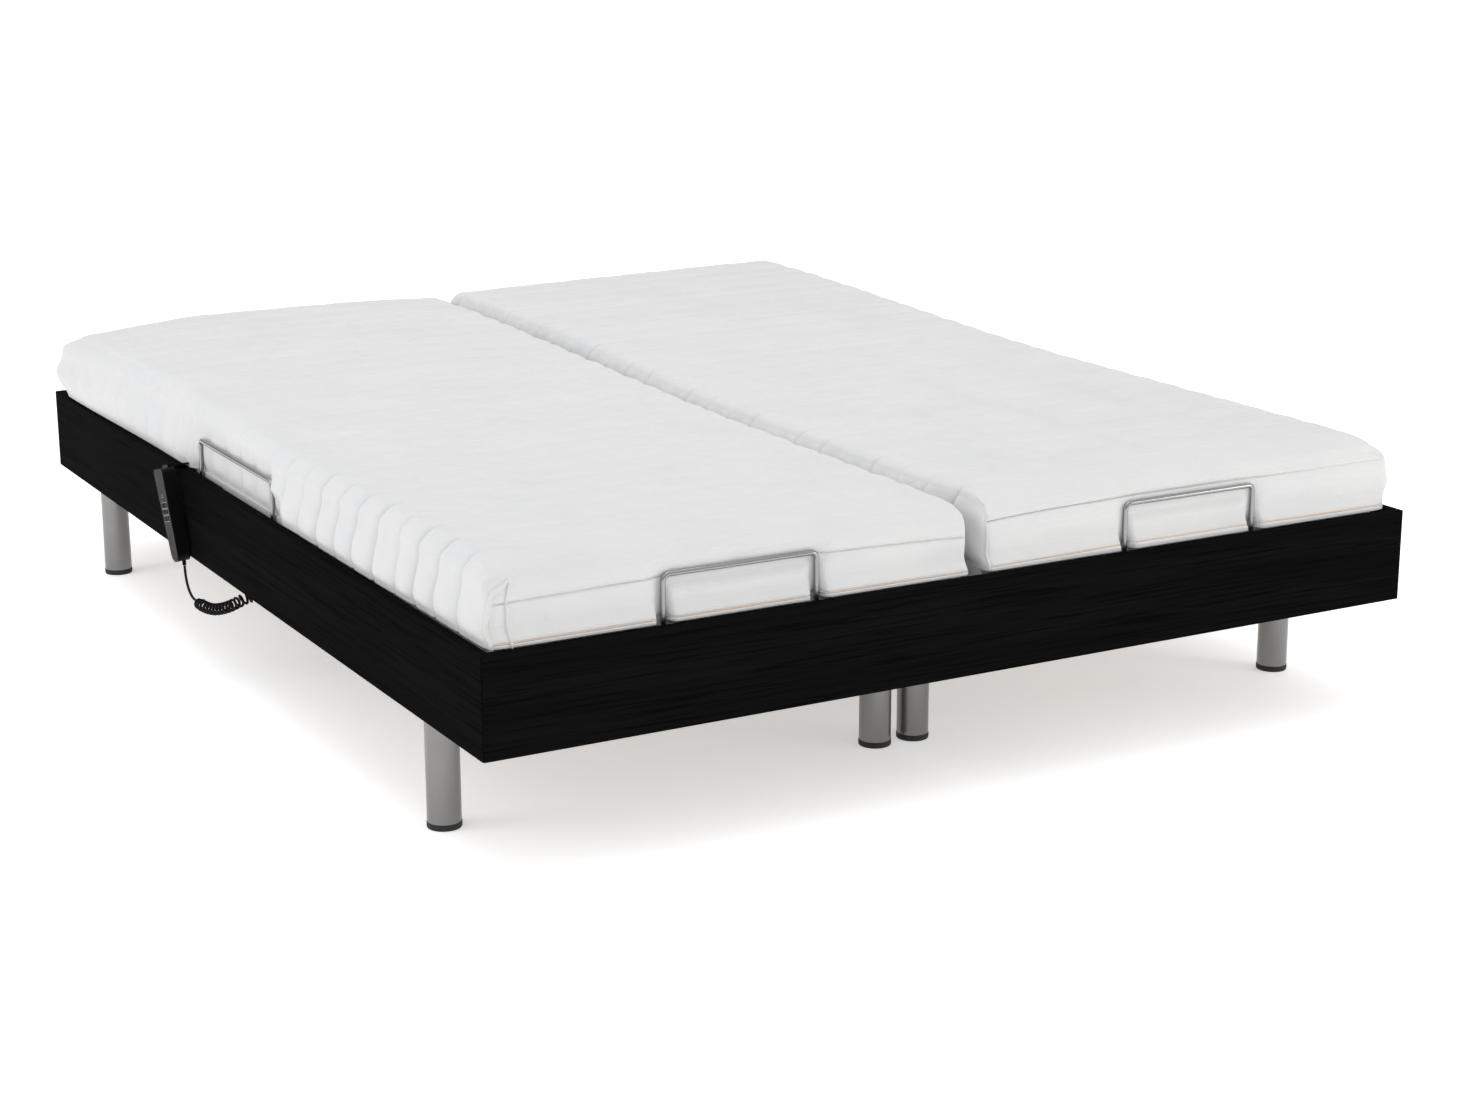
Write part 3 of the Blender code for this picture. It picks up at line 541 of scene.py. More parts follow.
def cord_path():
    """The straight length, then a helix round the coil's own route that opens and closes at its ends."""
    straight = smooth_route(CORD_ROUTE, STRAIGHT_STEP)
    axis = smooth_route(COIL_ROUTE, AXIS_STEP)
    count = COIL_TURNS * POINTS_PER_TURN
    across = (axis[1] - axis[0]).orthogonal().normalized()
    path = list(straight)
    for i in range(count + 1):
        share = i / count
        reached = share * (len(axis) - 1)
        k = min(int(reached), len(axis) - 2)
        middle = axis[k].lerp(axis[k + 1], reached - k)
        direction = (axis[k + 1] - axis[k]).normalized()
        across = (across - direction * across.dot(direction)).normalized()
        other = direction.cross(across)
        opened = min(share * COIL_TURNS / COIL_OPENS, 1.0, (1 - share) * COIL_TURNS / COIL_CLOSES)
        opened = opened * opened * (3 - 2 * opened)
        angle = 2 * math.pi * share * COIL_TURNS
        reach = COIL_MEAN_RADIUS * opened
        path.append(middle + (across * math.cos(angle) + other * math.sin(angle)) * reach)
    return path


def build_cord():
    path = cord_path()
    shape = Shape()
    shape.add(*tube(path, CORD_RADIUS, 10))
    cord = shape.piece("curly_handset_cord", [cord_rubber], 60)
    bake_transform(cord)
    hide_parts("handset_cord", "handset_cord_coil")


build_cord()

# ---------------------------------------------------------------- mattresses

MATTRESS_INNER = 0.010
MATTRESS_OUTER = 0.788
MATTRESS_END = 0.997
MATTRESS_LOW = 0.2975
PITCH = 0.077
FIRST_CHANNEL = -0.915
CHANNELS = 25
SPLIT_SEAT_BACK = FIRST_CHANNEL + 12 * PITCH
SPLIT_THIGH_CALF = FIRST_CHANNEL + 8 * PITCH
ROUND_SIDE = 0.030
ROUND_TOP = 0.030
ROUND_BOTTOM = 0.014
ROUND_FOOT = 0.016
ROUND_HEAD = 0.055
LIP_LEVEL = 0.3316
LIP_SHARE = 0.22
SIDE_BAR_Y = (-0.160, 0.198)
FOOT_BAR_X = (0.277, 0.527)
SIMULATED_REACH = 0.012
SIMULATED_FRAMES = 20


def ease(x, low, high):
    t = np.clip((x - low) / (high - low), 0, 1)
    return t * t * (3 - 2 * t)


def top_height(side, outerness, y):
    """The mattress top: it rises to the head, more on the right, and falls away towards its edges."""
    if side < 0:
        height = 0.4475 + 0.0235 * ease(y, -0.35, 0.85)
        risen = ease(y, -0.9, 0.2)
        fall = np.where(outerness > 0.5, 0.005 + 0.005 * risen, 0.013 - 0.003 * risen)
        height = height - 0.012 * ease(outerness, 0.65, 1.0) * ease(y, 0.55, 0.97)
    else:
        height = 0.4490 + 0.0325 * ease(y, -0.25, 0.95)
        height = height - 0.012 * (1 - outerness) ** 1.5 * ease(y, 0.2, 0.95)
        fall = np.where(outerness > 0.5, 0.001, 0.012 - 0.010 * ease(y, -0.3, 0.6))
    foot_roll = (0.012 if side < 0 else 0.016) * np.clip(1 - (y + MATTRESS_END) / 0.10, 0, 1) ** 2
    return height - fall * np.abs(2 * outerness - 1) ** 3 - foot_roll


def mattress_points(side, a, y, c):
    """Places on a mattress's smooth outer form, and the directions that point out of it.

    a runs from its left edge to its right, y along the bed and c from its underside to its top.
    """
    outerness = a if side > 0 else 1 - a
    low = MATTRESS_INNER if side > 0 else -MATTRESS_OUTER
    width = MATTRESS_OUTER - MATTRESS_INNER
    x = low + a * width
    top = top_height(side, outerness, y)
    between_boards = MATTRESS_LOW + (LIP_LEVEL - MATTRESS_LOW) * c / LIP_SHARE
    above_boards = LIP_LEVEL + (top - LIP_LEVEL) * (c - LIP_SHARE) / (1 - LIP_SHARE)
    z = np.where(c < LIP_SHARE, between_boards, above_boards)
    round_side = ROUND_FOOT + (ROUND_SIDE - ROUND_FOOT) * ease(y, -0.985, -0.88)
    centre = np.stack(
        (
            np.clip(x, low + round_side, low + width - round_side),
            np.clip(y, -MATTRESS_END + ROUND_FOOT, MATTRESS_END - ROUND_HEAD),
            np.clip(z, MATTRESS_LOW + ROUND_BOTTOM, top - ROUND_TOP),
        ),
        -1,
    )
    radii = np.stack(
        (
            round_side,
            np.where(y < 0, ROUND_FOOT, ROUND_HEAD),
            np.where(c < 0.5, ROUND_BOTTOM, ROUND_TOP),
        ),
        -1,
    )
    offset = (np.stack((x, y, z), -1) - centre) / radii
    offset /= np.maximum(np.linalg.norm(offset, axis=-1, keepdims=True), 1e-9)
    places = centre + offset * radii
    out = offset / radii
    out /= np.maximum(np.linalg.norm(out, axis=-1, keepdims=True), 1e-9)
    return places, out


def window(x, low, high, soft):
    """1 between low and high, falling to 0 over a distance outside them."""
    return ease(x, low - soft, low) * (1 - ease(x, high, high + soft))


def held_by_bars(side, places):
    """1 where a retainer bar holds the soft form in, on its outer side or on its foot face."""
    x, y, z = places[:, 0], places[:, 1], places[:, 2]
    first, last = SIDE_BAR_Y
    corner = (1 - ease(y, first - 0.030, first + 0.030)) * ease(z, 0.362, 0.380)
    beside = window(y, first - 0.030, last + 0.010, 0.035) * (1 - ease(z, 0.400, 0.440)) * (1 - corner)
    inner, outer = FOOT_BAR_X
    low, high = (inner, outer) if side > 0 else (-outer, -inner)
    posts = np.maximum(
        window(x, low - 0.008, low + 0.004, 0.009), window(x, high - 0.008, high + 0.004, 0.009)
    )
    rail = window(x, low - 0.006, high + 0.006, 0.02) * window(z, 0.386, 0.412, 0.016)
    ahead = np.maximum(rail, posts)
    return beside, ahead


def bulges(side, a, y, c, places, out):
    """How the soft form stands proud of its blank: out over the boards, and most at the head."""
    outerness = a if side > 0 else 1 - a
    t = np.clip((c - LIP_SHARE) / (1 - LIP_SHARE), 0, 1)
    above = np.where(c > LIP_SHARE, 1.0, 0.0)
    beside, ahead = held_by_bars(side, places)
    outer_face = np.clip(1.5 * out[:, 0] * side, 0, 1)
    inner_face = np.clip(-out[:, 0] * side, 0, 1)
    head_face = np.clip(1.5 * out[:, 1], 0, 1)
    foot_face = np.clip(-1.5 * out[:, 1], 0, 1)
    near_head = ease(y, 0.35, 0.97)
    near_foot = 1 - ease(y, -0.99, -0.80)
    corner = ease(outerness, 0.75, 1.0)
    if side < 0:
        low, high = 0.0150 + 0.011 * near_head, 0.004 + 0.026 * near_head
    else:
        low, high = 0.013, 0.026 * (1 - ease(y, -0.25, 0.25)) + 0.008 * near_head
    low = low - 0.0025 * (1 - ease(y, -0.80, -0.60))
    over_board = low * (1 - ease(t, 0.10, 0.70)) + high * ease(t, 0.0, 0.45) * (1 - ease(t, 0.75, 1.15))
    push = np.zeros_like(out)
    push[:, 0] += side * outer_face * (above * over_board * (1 - beside) + 0.003 * (1 - above))
    push[:, 0] -= side * inner_face * np.sin(np.pi * np.clip(c, 0, 1)) ** 2 * 0.003 * (1 - near_foot)
    if side < 0:
        push[:, 0] -= inner_face * near_foot * (0.001 + 0.006 * (1 - t))
    else:
        push[:, 0] += inner_face * near_foot * (0.003 + 0.011 * t)
    over_foot = 0.014 * (1 - ease(t, 0.03, 0.28)) + 0.007 * (1 - ease(t, 0.45, 1.0))
    push[:, 1] -= foot_face * above * over_foot * (1 - ahead)
    over_corner = 0.016 * corner * ease(t, 0.0, 0.4) * (1 - ease(t, 0.7, 1.15))
    over_head = 0.020 * (1 - ease(t, 0.3, 0.9)) + over_corner
    push[:, 1] += head_face * above * over_head
    return push


def channel_share(y):
    """0 in a quilting channel and 1 midway between two; beyond the last ones it stays midway."""
    t = (y - FIRST_CHANNEL) / PITCH
    nearest = np.clip(np.round(t), 0, CHANNELS - 1)
    return np.clip(2 * np.abs(t - nearest), 0, 1), nearest


def quilting(side, a, y, c, out):
    """Depth of the pillows between the quilting channels and of the stitched grooves themselves."""
    outerness = a if side > 0 else 1 - a
    share, number = channel_share(y)
    on_top = np.clip(out[:, 2], 0, 1) ** 2
    on_side = np.clip(np.abs(out[:, 0]), 0, 1)
    on_end = np.clip(np.abs(out[:, 1]), 0, 1)
    quilted = (1 - ease(on_end, 0.35, 0.8)) * np.where(c < LIP_SHARE, 0.0, 1.0)
    to_edge = np.minimum(outerness, 1 - outerness) * (MATTRESS_OUTER - MATTRESS_INNER)
    rim = 1 - ease(to_edge, 0.012, 0.060)
    outer_half = outerness > 0.5
    toward_foot = 1 - ease(y, -0.50, -0.05)
    if side < 0:
        side_depth = np.where(outer_half, 0.14 + 1.05 * toward_foot, 0.70)
    else:
        side_depth = np.where(outer_half, 0.25, 0.75)
    top_depth = 0.45 + 0.75 * ease(y, -0.30, 0.50)
    wave = 0.80 + 0.35 * np.sin(number * 2.4 + outerness * 5.0 + side)
    pillow = (1 - (1 - share) ** 3.4) * wave
    groove = np.exp(-((share / 0.085) ** 1.3)) * wave
    edge = on_side + 0.45 * rim * on_top
    height = pillow * (0.0010 * on_top * top_depth + 0.0036 * edge * side_depth) * ease(c, 0.25, 0.36)
    depth = groove * (0.0020 * on_top * top_depth + 0.0052 * edge * side_depth)
    return (height - depth) * quilted


def sway(side, y, c, out):
    """The grooves on the long sides don't hang quite straight."""
    on_side = np.clip(np.abs(out[:, 0]), 0, 1) * np.clip((c - 0.05) / 0.3, 0, 1)
    number = (y - FIRST_CHANNEL) / PITCH
    lean = 0.006 * np.sin(number * 1.9 + side) + 0.004 * np.sin(number * 0.7 + 2.0)
    bow = 0.005 * np.sin(np.pi * np.clip(c, 0, 1)) * np.sin(number * 1.3 + 1.0)
    inside = ease(y, -0.99, -0.90) * (1 - ease(y, 0.90, 0.99))
    return (lean * (1 - c) + bow) * on_side * inside


def skin(counts):
    """Corners (i, j, k) on the outside of a grid, its quads facing outwards, and the grid's numbering."""
    na, nb, nc = counts
    number = np.full(counts, -1, int)
    outside = np.zeros(counts, bool)
    outside[[0, -1], :, :] = True
    outside[:, [0, -1], :] = True
    outside[:, :, [0, -1]] = True
    number[outside] = np.arange(int(outside.sum()))
    corners = np.argwhere(outside)
    sheets = (
        (number[:, :, -1], False),
        (number[:, :, 0], True),
        (number[0, :, :], True),
        (number[-1, :, :], False),
        (number[:, 0, :], False),
        (number[:, -1, :], True),
    )
    faces = []
    for grid, flipped in sheets:
        quads = np.stack((grid[:-1, :-1], grid[1:, :-1], grid[1:, 1:], grid[:-1, 1:]), -1).reshape(-1, 4)
        faces.append(quads[:, ::-1] if flipped else quads)
    return corners, np.concatenate(faces), number


def simulated(side):
    """Cloth pulled over the foam and held in its channels, inflated a little: how far each place moves.

    Returned on the coarse grid's own coordinates, so that the fine mattress can read it anywhere.
    """
    rows_a = np.linspace(0, 1, 31)
    rows_c = np.array((0, 0.12, 0.28, 0.44, 0.60, 0.76, 0.89, 1.0))
    quarter = PITCH / 4
    rows_y = np.concatenate(
        (
            np.array((-MATTRESS_END, -0.985, -0.965, -0.9465, -0.9300)),
            FIRST_CHANNEL + quarter * np.arange(4 * (CHANNELS - 1) + 1),
            np.array((0.955, 0.978, MATTRESS_END)),
        )
    )
    corners, faces, number = skin((len(rows_a), len(rows_y), len(rows_c)))
    a, y, c = rows_a[corners[:, 0]], rows_y[corners[:, 1]], rows_c[corners[:, 2]]
    rest, out = mattress_points(side, a, y, c)
    share, _ = channel_share(y)
    held = (share < 0.05) & (out[:, 2] > -0.5) | (out[:, 2] < -0.6)
    mesh = bpy.data.meshes.new("cover")
    mesh.from_pydata([tuple(p) for p in rest], [], [tuple(int(i) for i in f) for f in faces])
    cover = bpy.data.objects.new("cover", mesh)
    bpy.context.scene.collection.objects.link(cover)
    group = cover.vertex_groups.new(name="held")
    group.add([int(i) for i in np.nonzero(held)[0]], 1.0, "REPLACE")
    cloth = cover.modifiers.new("cloth", "CLOTH")
    settings = cloth.settings
    settings.quality = 6
    settings.mass = 0.25
    settings.use_pressure = True
    settings.uniform_pressure_force = 3.5
    settings.vertex_group_mass = "held"
    settings.shrink_min = -0.035
    settings.tension_stiffness = 12
    settings.compression_stiffness = 12
    settings.shear_stiffness = 4
    settings.bending_stiffness = 0.4
    settings.effector_weights.gravity = 0.0
    cloth.point_cache.frame_start = 1
    cloth.point_cache.frame_end = 24
    scene = bpy.context.scene
    for step in range(1, SIMULATED_FRAMES + 1):
        scene.frame_set(step)
    graph = bpy.context.evaluated_depsgraph_get()
    moved = np.empty(len(mesh.vertices) * 3)
    cover.evaluated_get(graph).data.vertices.foreach_get("co", moved)
    moved = moved.reshape(-1, 3) - rest
    scene.frame_set(1)
    bpy.data.objects.remove(cover)
    bpy.data.meshes.remove(mesh)
    reach = np.linalg.norm(moved, axis=1, keepdims=True)
    moved *= np.minimum(1, SIMULATED_REACH / np.maximum(reach, 1e-9))
    field = np.zeros((len(rows_a), len(rows_y), len(rows_c), 3))
    field[corners[:, 0], corners[:, 1], corners[:, 2]] = moved
    return rows_a, rows_y, rows_c, field


def read_field(rows, field, values):
    """Reads a field on a box's surface at the given coordinates, linearly along each of its three axes."""
    picks = []
    for row, value in zip(rows, values):
        low = np.clip(np.searchsorted(row, value, side="right") - 1, 0, len(row) - 2)
        share = np.clip((value - row[low]) / (row[low + 1] - row[low]), 0, 1)
        share = np.where(value <= row[0], 0.0, np.where(value >= row[-1], 1.0, share))
        picks.append((low, share))
    total = 0
    for i in (0, 1):
        for j in (0, 1):
            for k in (0, 1):
                weight = 1.0
                for (low, share), step in zip(picks, (i, j, k)):
                    weight = weight * (share if step else 1 - share)
                total = total + weight[:, None] * field[
                    picks[0][0] + i, picks[1][0] + j, picks[2][0] + k
                ]
    return total


def fine_rows():
    a_edge = (0, 0.003, 0.008, 0.014, 0.021, 0.029, 0.0386, 0.052, 0.070, 0.095, 0.125, 0.165, 0.21, 0.26)
    a_bars = (0.298, 0.312, 0.3215, 0.3295, 0.3365, 0.3435, 0.350, 0.358, 0.367, 0.378, 0.40, 0.45)
    half = a_edge + a_bars
    rows_a = np.array(half + (0.5,) + tuple(1 - x for x in reversed(half)))
    channel = np.array((0, 0.0022, 0.0055, 0.012, 0.0235, 0.0385, 0.0535, 0.065, 0.0715, 0.0748))
    rows_y = [-MATTRESS_END, -0.9955, -0.9925, -0.988, -0.984, -0.980, -0.976, -0.971, -0.961, -0.950]
    rows_y += [-0.9385, -0.927, -0.9205, -0.9172]
    for k in range(CHANNELS - 1):
        rows_y += list(FIRST_CHANNEL + k * PITCH + channel)
    last = FIRST_CHANNEL + (CHANNELS - 1) * PITCH
    rows_y += [last, last + 0.0022, last + 0.0055, last + 0.011, 0.950, 0.960, 0.969, 0.978, 0.986]
    rows_y += [0.992, MATTRESS_END]
    rows_c = np.array(
        (0, 0.03, 0.07, 0.14, 0.19, 0.2190, 0.2202, 0.224, 0.232, 0.241, 0.250, 0.258, 0.266, 0.275)
        + (0.290, 0.32, 0.37, 0.43, 0.49, 0.545, 0.59, 0.625, 0.65, 0.667, 0.677, 0.684, 0.691, 0.701)
        + (0.715, 0.735, 0.76, 0.785, 0.81, 0.826, 0.835, 0.841, 0.847, 0.857, 0.875, 0.90, 0.925, 0.95)
        + (0.975, 1.0)
    )
    return rows_a, np.array(rows_y), rows_c


def low_seam(side, outerness):
    """How high up a mattress, as a share, its lowest seam runs."""
    return 0.264 if side < 0 else 0.272 + 0.075 * outerness * (1 - outerness)


def foot_seams(side, a, y, c, out):
    """The foot panel's sewn lines, and the one above it: how far they draw the cover in."""
    on_foot = ease(-out[:, 1], 0.70, 0.93)
    outerness = a if side > 0 else 1 - a
    depth = 0.0024 * np.exp(-(((c - low_seam(side, outerness)) / 0.010) ** 2))
    if side < 0:
        depth += 0.0030 * np.exp(-(((c - 0.676 - 0.022 * np.sin(np.pi * outerness)) / 0.009) ** 2))
        depth -= 0.0018 * ease(c, 0.695, 0.73) * (1 - ease(c, 0.86, 0.98))
    else:
        depth += 0.0042 * np.exp(-(((c - 0.838) / 0.009) ** 2)) * (1 - 0.6 * ease(outerness, 0.5, 0.9))
        depth -= 0.0020 * ease(c, 0.30, 0.50) * (1 - ease(c, 0.74, 0.83))
    along_edge = 0.0030 * np.exp(-(((y + 0.980) / 0.0045) ** 2)) * ease(out[:, 2], 0.25, 0.6)
    return depth * on_foot + along_edge * (1.0 if side < 0 else 0.4)


def underside_relief(y):
    """The foam is cut back underneath at the folds, where the slats rise into it."""
    back = ease(y, 0.06, 0.11) * (1 - ease(y, 0.30, 0.37))
    thigh = ease(y, -0.22, -0.17) * (1 - ease(y, -0.06, -0.01))
    return 0.018 * back + 0.009 * thigh


def build_mattress(name, side):
    rows_a, rows_y, rows_c = fine_rows()
    corners, faces, number = skin((len(rows_a), len(rows_y), len(rows_c)))
    a, y, c = rows_a[corners[:, 0]], rows_y[corners[:, 1]], rows_c[corners[:, 2]]
    places, out = mattress_points(side, a, y, c)
    push = bulges(side, a, y, c, places, out)
    push += out * (quilting(side, a, y, c, out) - foot_seams(side, a, y, c, out))[:, None]
    push[:, 1] += sway(side, y, c, out)
    *rows, field = simulated(side)
    soft = read_field(rows, field, (a, y, c))
    limit = 0.12 + 0.33 * np.clip(np.abs(out[:, 0]), 0, 1) ** 2
    push += soft * (limit * ease(c, LIP_SHARE, 0.36))[:, None]
    places = places + push
    places[:, 2] += underside_relief(y) * (1 - ease(c, 0.0, 0.20))
    cells = {
        "back": rows_y >= SPLIT_SEAT_BACK - 1e-6,
        "thigh": (rows_y <= SPLIT_SEAT_BACK + 1e-6) & (rows_y >= SPLIT_THIGH_CALF - 1e-6),
        "calf": rows_y <= SPLIT_THIGH_CALF + 1e-6,
    }
    pieces = {}
    for section, rows in cells.items():
        inside = rows[corners[:, 1]]
        kept = inside[faces].all(axis=1)
        used = np.unique(faces[kept])
        renumber = np.full(len(places), -1)
        renumber[used] = np.arange(len(used))
        shape = Shape()
        shape.add(places[used].tolist(), renumber[faces[kept]].tolist())
        if section == "calf":
            beads, binding = foot_piping(side, places, rows_a, rows_c, number)
            for points, quads in beads:
                shape.add(points, quads, 1)
            # The low bead takes the tan binding material, whose colour is painted shade.
            shape.add(*binding, 2)
        pieces[section] = shape.piece(f"{name}_mattress_{section}_part", [knit, piping, binding_painted_shade], 60)
    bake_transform(pieces["back"])
    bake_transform(pieces["thigh"])
    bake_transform(pieces["calf"])
    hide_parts(f"{name}_back_mattress", f"{name}_seat_mattress")
    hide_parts(f"{name}_thigh_mattress")
    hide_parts(f"{name}_calf_mattress")


def foot_piping(side, places, rows_a, rows_c, number):
    """Beads of piping on the foot panel: two at its outer corner, one at its inner, one low across it."""
    panel = places[number[:, 0, :]]

    def on_panel(a, c, out=0.0006):
        i = np.interp(a, rows_a, np.arange(len(rows_a)))
        k = np.interp(c, rows_c, np.arange(len(rows_c)))
        i0, k0 = int(min(i, len(rows_a) - 2)), int(min(k, len(rows_c) - 2))
        s, t = i - i0, k - k0
        point = (
            panel[i0, k0] * (1 - s) * (1 - t)
            + panel[i0 + 1, k0] * s * (1 - t)
            + panel[i0, k0 + 1] * (1 - s) * t
            + panel[i0 + 1, k0 + 1] * s * t
        )
        return Vector(point) + Vector((0, -out, 0))

    def outer(share):
        return share if side > 0 else 1 - share

    beads = []
    if side < 0:
        heights = np.linspace(0.16, 0.955, 40)
        edge = [on_panel(outer(0.9985 - 0.036 * float(ease(c, 0.70, 0.955)) ** 1.5), c) for c in heights]
        sizes = [0.0034 * (1 - 0.7 * float(ease(c, 0.86, 0.955))) for c in heights]
        beads.append(tube(edge, sizes, 8))
        heights = np.linspace(0.16, 0.90, 34)
        inner_line = [on_panel(outer(0.9715 - 0.008 * float(ease(c, 0.68, 0.90))), c) for c in heights]
        sizes = [0.0028 * (1 - 0.8 * float(ease(c, 0.80, 0.90))) for c in heights]
        beads.append(tube(inner_line, sizes, 8))
    else:
        heights = np.linspace(0.16, 0.835, 30)
        corner = [on_panel(outer(0.004 + 0.004 * float(ease(c, 0.2, 0.8))), c) for c in heights]
        beads.append(tube(corner, [0.0019] * len(corner), 8))
    shares = np.linspace(0.004, 0.996, 120)
    across = [on_panel(share, low_seam(side, outer(share)), 0.0002) for share in shares]
    binding = tube(across, [0.0015] * len(across), 8)
    return beads, binding


for name, side in SIDES.items():
    build_mattress(name, side)

# ---------------------------------------------------------------- surround


def carry(node, material):
    """A CAD node kept as it is, with its own material."""
    mesh = nodes[node].data
    mesh.materials.clear()
    mesh.materials.append(material)


for board in ("left_board", "right_board"):
    carry(board, wood_along_y)
for board in ("head_board", "foot_board"):
    carry(board, wood_along_x)

# ---------------------------------------------------------------- legs

LEG_PROFILE = (
    (0.0095, 0.0245),
    (0.0098, 0.0254),
    (0.0108, 0.0255),
    (0.1930, 0.0255),
    (0.2020, 0.0255),
    (0.2045, 0.0252),
    (0.2047, 0.0240),
)
CAP_PROFILE = (
    (0.0000, 0.0238),
    (0.0004, 0.0252),
    (0.0015, 0.0260),
    (0.0045, 0.0262),
    (0.0085, 0.0262),
    (0.0097, 0.0259),
    (0.0101, 0.0250),
)


def build_legs():
    for name, side in SIDES.items():
        for across, x in (("inner", 0.0355), ("outer", 0.775)):
            for along, y in (("head", 0.822), ("foot", -0.786)):
                base = (side * x, y, 0)
                shape = Shape()
                shape.add(*turned(LEG_PROFILE, base, (0, 0, 1), 48))
                shape.add(*turned(CAP_PROFILE, base, (0, 0, 1), 48), 1)
                leg = shape.piece(f"{name}_{across}_{along}_tube_leg", [leg_paint, leg_rubber])
                place(leg, "base", "leg_aluminium", f"{name}_{across}_{along}_leg")


build_legs()

# ---------------------------------------------------------------- retainer bars

ROD_RADIUS = 0.004
ROD_BEND = 0.010
FERRULE_PROFILE = ((0.0, 0.0062), (0.0015, 0.0066), (0.0050, 0.0066), (0.0062, 0.0050))


def build_retainers():
    for name, side in SIDES.items():
        x = side * 0.7955
        first, last = SIDE_BAR_Y
        corners = [(x, first, 0.2453), (x, first, 0.388), (x, last, 0.388), (x, last, 0.2453)]
        shape = Shape()
        shape.add(*tube(bent(corners, ROD_BEND), ROD_RADIUS, 16))
        for y in SIDE_BAR_Y:
            shape.add(*turned(FERRULE_PROFILE, (x, y, 0.2454), (0, 0, 1), 16), 1)
        bar = shape.piece(f"{name}_side_bar", [rod_chrome, zinc])
        place(bar, "base", "dark_rod", f"{name}_side_retainer")
        a, b = (side * bar_x for bar_x in FOOT_BAR_X)
        face, front = -0.9853, -1.004
        top = 0.398 if side < 0 else 0.401
        corners = [
            (a, face, HINGE_Z),
            (a, front, HINGE_Z),
            (a, front, top),
            (b, front, top),
            (b, front, HINGE_Z),
            (b, face, HINGE_Z),
        ]
        shape = Shape()
        shape.add(*tube(bent(corners, ROD_BEND), ROD_RADIUS, 16))
        bar = shape.piece(f"{name}_foot_bar", [rod_chrome])
        place(bar, f"{name}_calf", "dark_rod", f"{name}_foot_retainer")


build_retainers()

# ---------------------------------------------------------------- slats and their holders

SLAT_RANGES = {
    "back": (0.212, 0.985),
    "seat": (-0.084, 0.164),
    "thigh": (-0.402, -0.132),
    "calf": (-0.985, -0.432),
}
SLAT_WIDTH = 0.044
SLAT_HALF_LENGTH = 0.380


def slat(shape, centre_x, start):
    """One sprung slat, bowed up a little, with rounded long edges."""
    stations = np.linspace(-SLAT_HALF_LENGTH, SLAT_HALF_LENGTH, 25)
    half, thick, edge = SLAT_WIDTH / 2, 0.0044, 0.0024
    ring = (
        (-half, -thick + edge),
        (-half + edge, -thick),
        (half - edge, -thick),
        (half, -thick + edge),
        (half, thick - edge),
        (half - edge, thick),
        (-half + edge, thick),
        (-half, thick - edge),
    )
    rings = []
    for u in stations:
        rise = 0.2886 + 0.0019 * (1 - (u / SLAT_HALF_LENGTH) ** 2)
        end = 1 - 0.12 * max(0.0, (abs(u) - 0.372) / 0.008)
        rings.append([(centre_x + u, start + half + y * end, rise + z * end) for y, z in ring])
    shape.add(*lofted(rings))


def holder(shape, x, start):
    """A rubber holder: a foot on the side tube, two cheeks and a strap over the slat."""
    low, high = start - 0.0030, start + SLAT_WIDTH + 0.0030
    half = 0.014
    shape.add(*soft_box((x - half, low, 0.2804), (x + half, high, 0.2838), 0.0012), 1)
    shape.add(*soft_box((x - half, low, 0.2820), (x + half, low + 0.0026, 0.2950), 0.0010), 1)
    shape.add(*soft_box((x - half, high - 0.0026, 0.2820), (x + half, high, 0.2950), 0.0010), 1)
    shape.add(*soft_box((x - half + 0.004, low, 0.2935), (x + half - 0.004, high, 0.2952), 0.0007), 1)


def build_slats():
    for name, side in SIDES.items():
        for section, (low, high) in SLAT_RANGES.items():
            count = round((high - low) / 0.066)
            pitch = (high - low - SLAT_WIDTH) / (count - 1)
            shape = Shape()
            for i in range(count):
                start = low + i * pitch
                slat(shape, side * BASE_CENTRE, start)
                for s in (-1, 1):
                    holder(shape, side * BASE_CENTRE + s * 0.315, start)
            slats = shape.piece(f"{name}_{section}_sprung_slats", [slat_wood, holder_rubber])
            body = "base" if section == "seat" else f"{name}_{section}"
            place(slats, body, "beech_slat", f"{name}_{section}_slats")


build_slats()

# ---------------------------------------------------------------- steel frames, shafts and drives


def build_steel():
    for name in SIDES:
        steel = [("chassis", "chassis_weldment", 0.0016, "base", steel_paint)]
        for section in ("back", "thigh", "calf"):
            frame_name = f"{section}_tube_frame"
            steel.append((f"{section}_frame", frame_name, 0.0016, f"{name}_{section}", steel_paint))
        for lift in ("back", "leg"):
            body = f"{name}_{lift}_shaft"
            steel.append((f"{lift}_lift_shaft", f"{lift}_torque_shaft", 0.0008, body, zinc))
        for node, piece, rounding, body, material in steel:
            refined(f"{name}_{node}", f"{name}_{piece}", rounding, body, "grey_steel", material)
        for node, piece, rounding, material in (
            ("drive_housing", "drive_shell", 0.0012, drive_shell),
            ("drive_motors", "gear_motors", 0.0014, motor_shell),
        ):
            refined(f"{name}_{node}", f"{name}_{piece}", rounding, "base", "drive_plastic", material)


build_steel()

# ---------------------------------------------------------------- control box and handset

carry("control_box", drive_shell)
carry("handset_back_shell", handset_shell)
carry("handset_front_shell", handset_shell)
carry("handset_circuit_board", laminate)
for key in range(1, 7):
    carry(f"handset_key_{key}", key_rubber)

HANDSET_LEAN = math.radians(14.0)
HANDSET_TILT = math.radians(4.0)
HANDSET_TOP = Vector((-0.8322, 0.2590, 0.3325))
HANDSET_DEPTH = 0.024


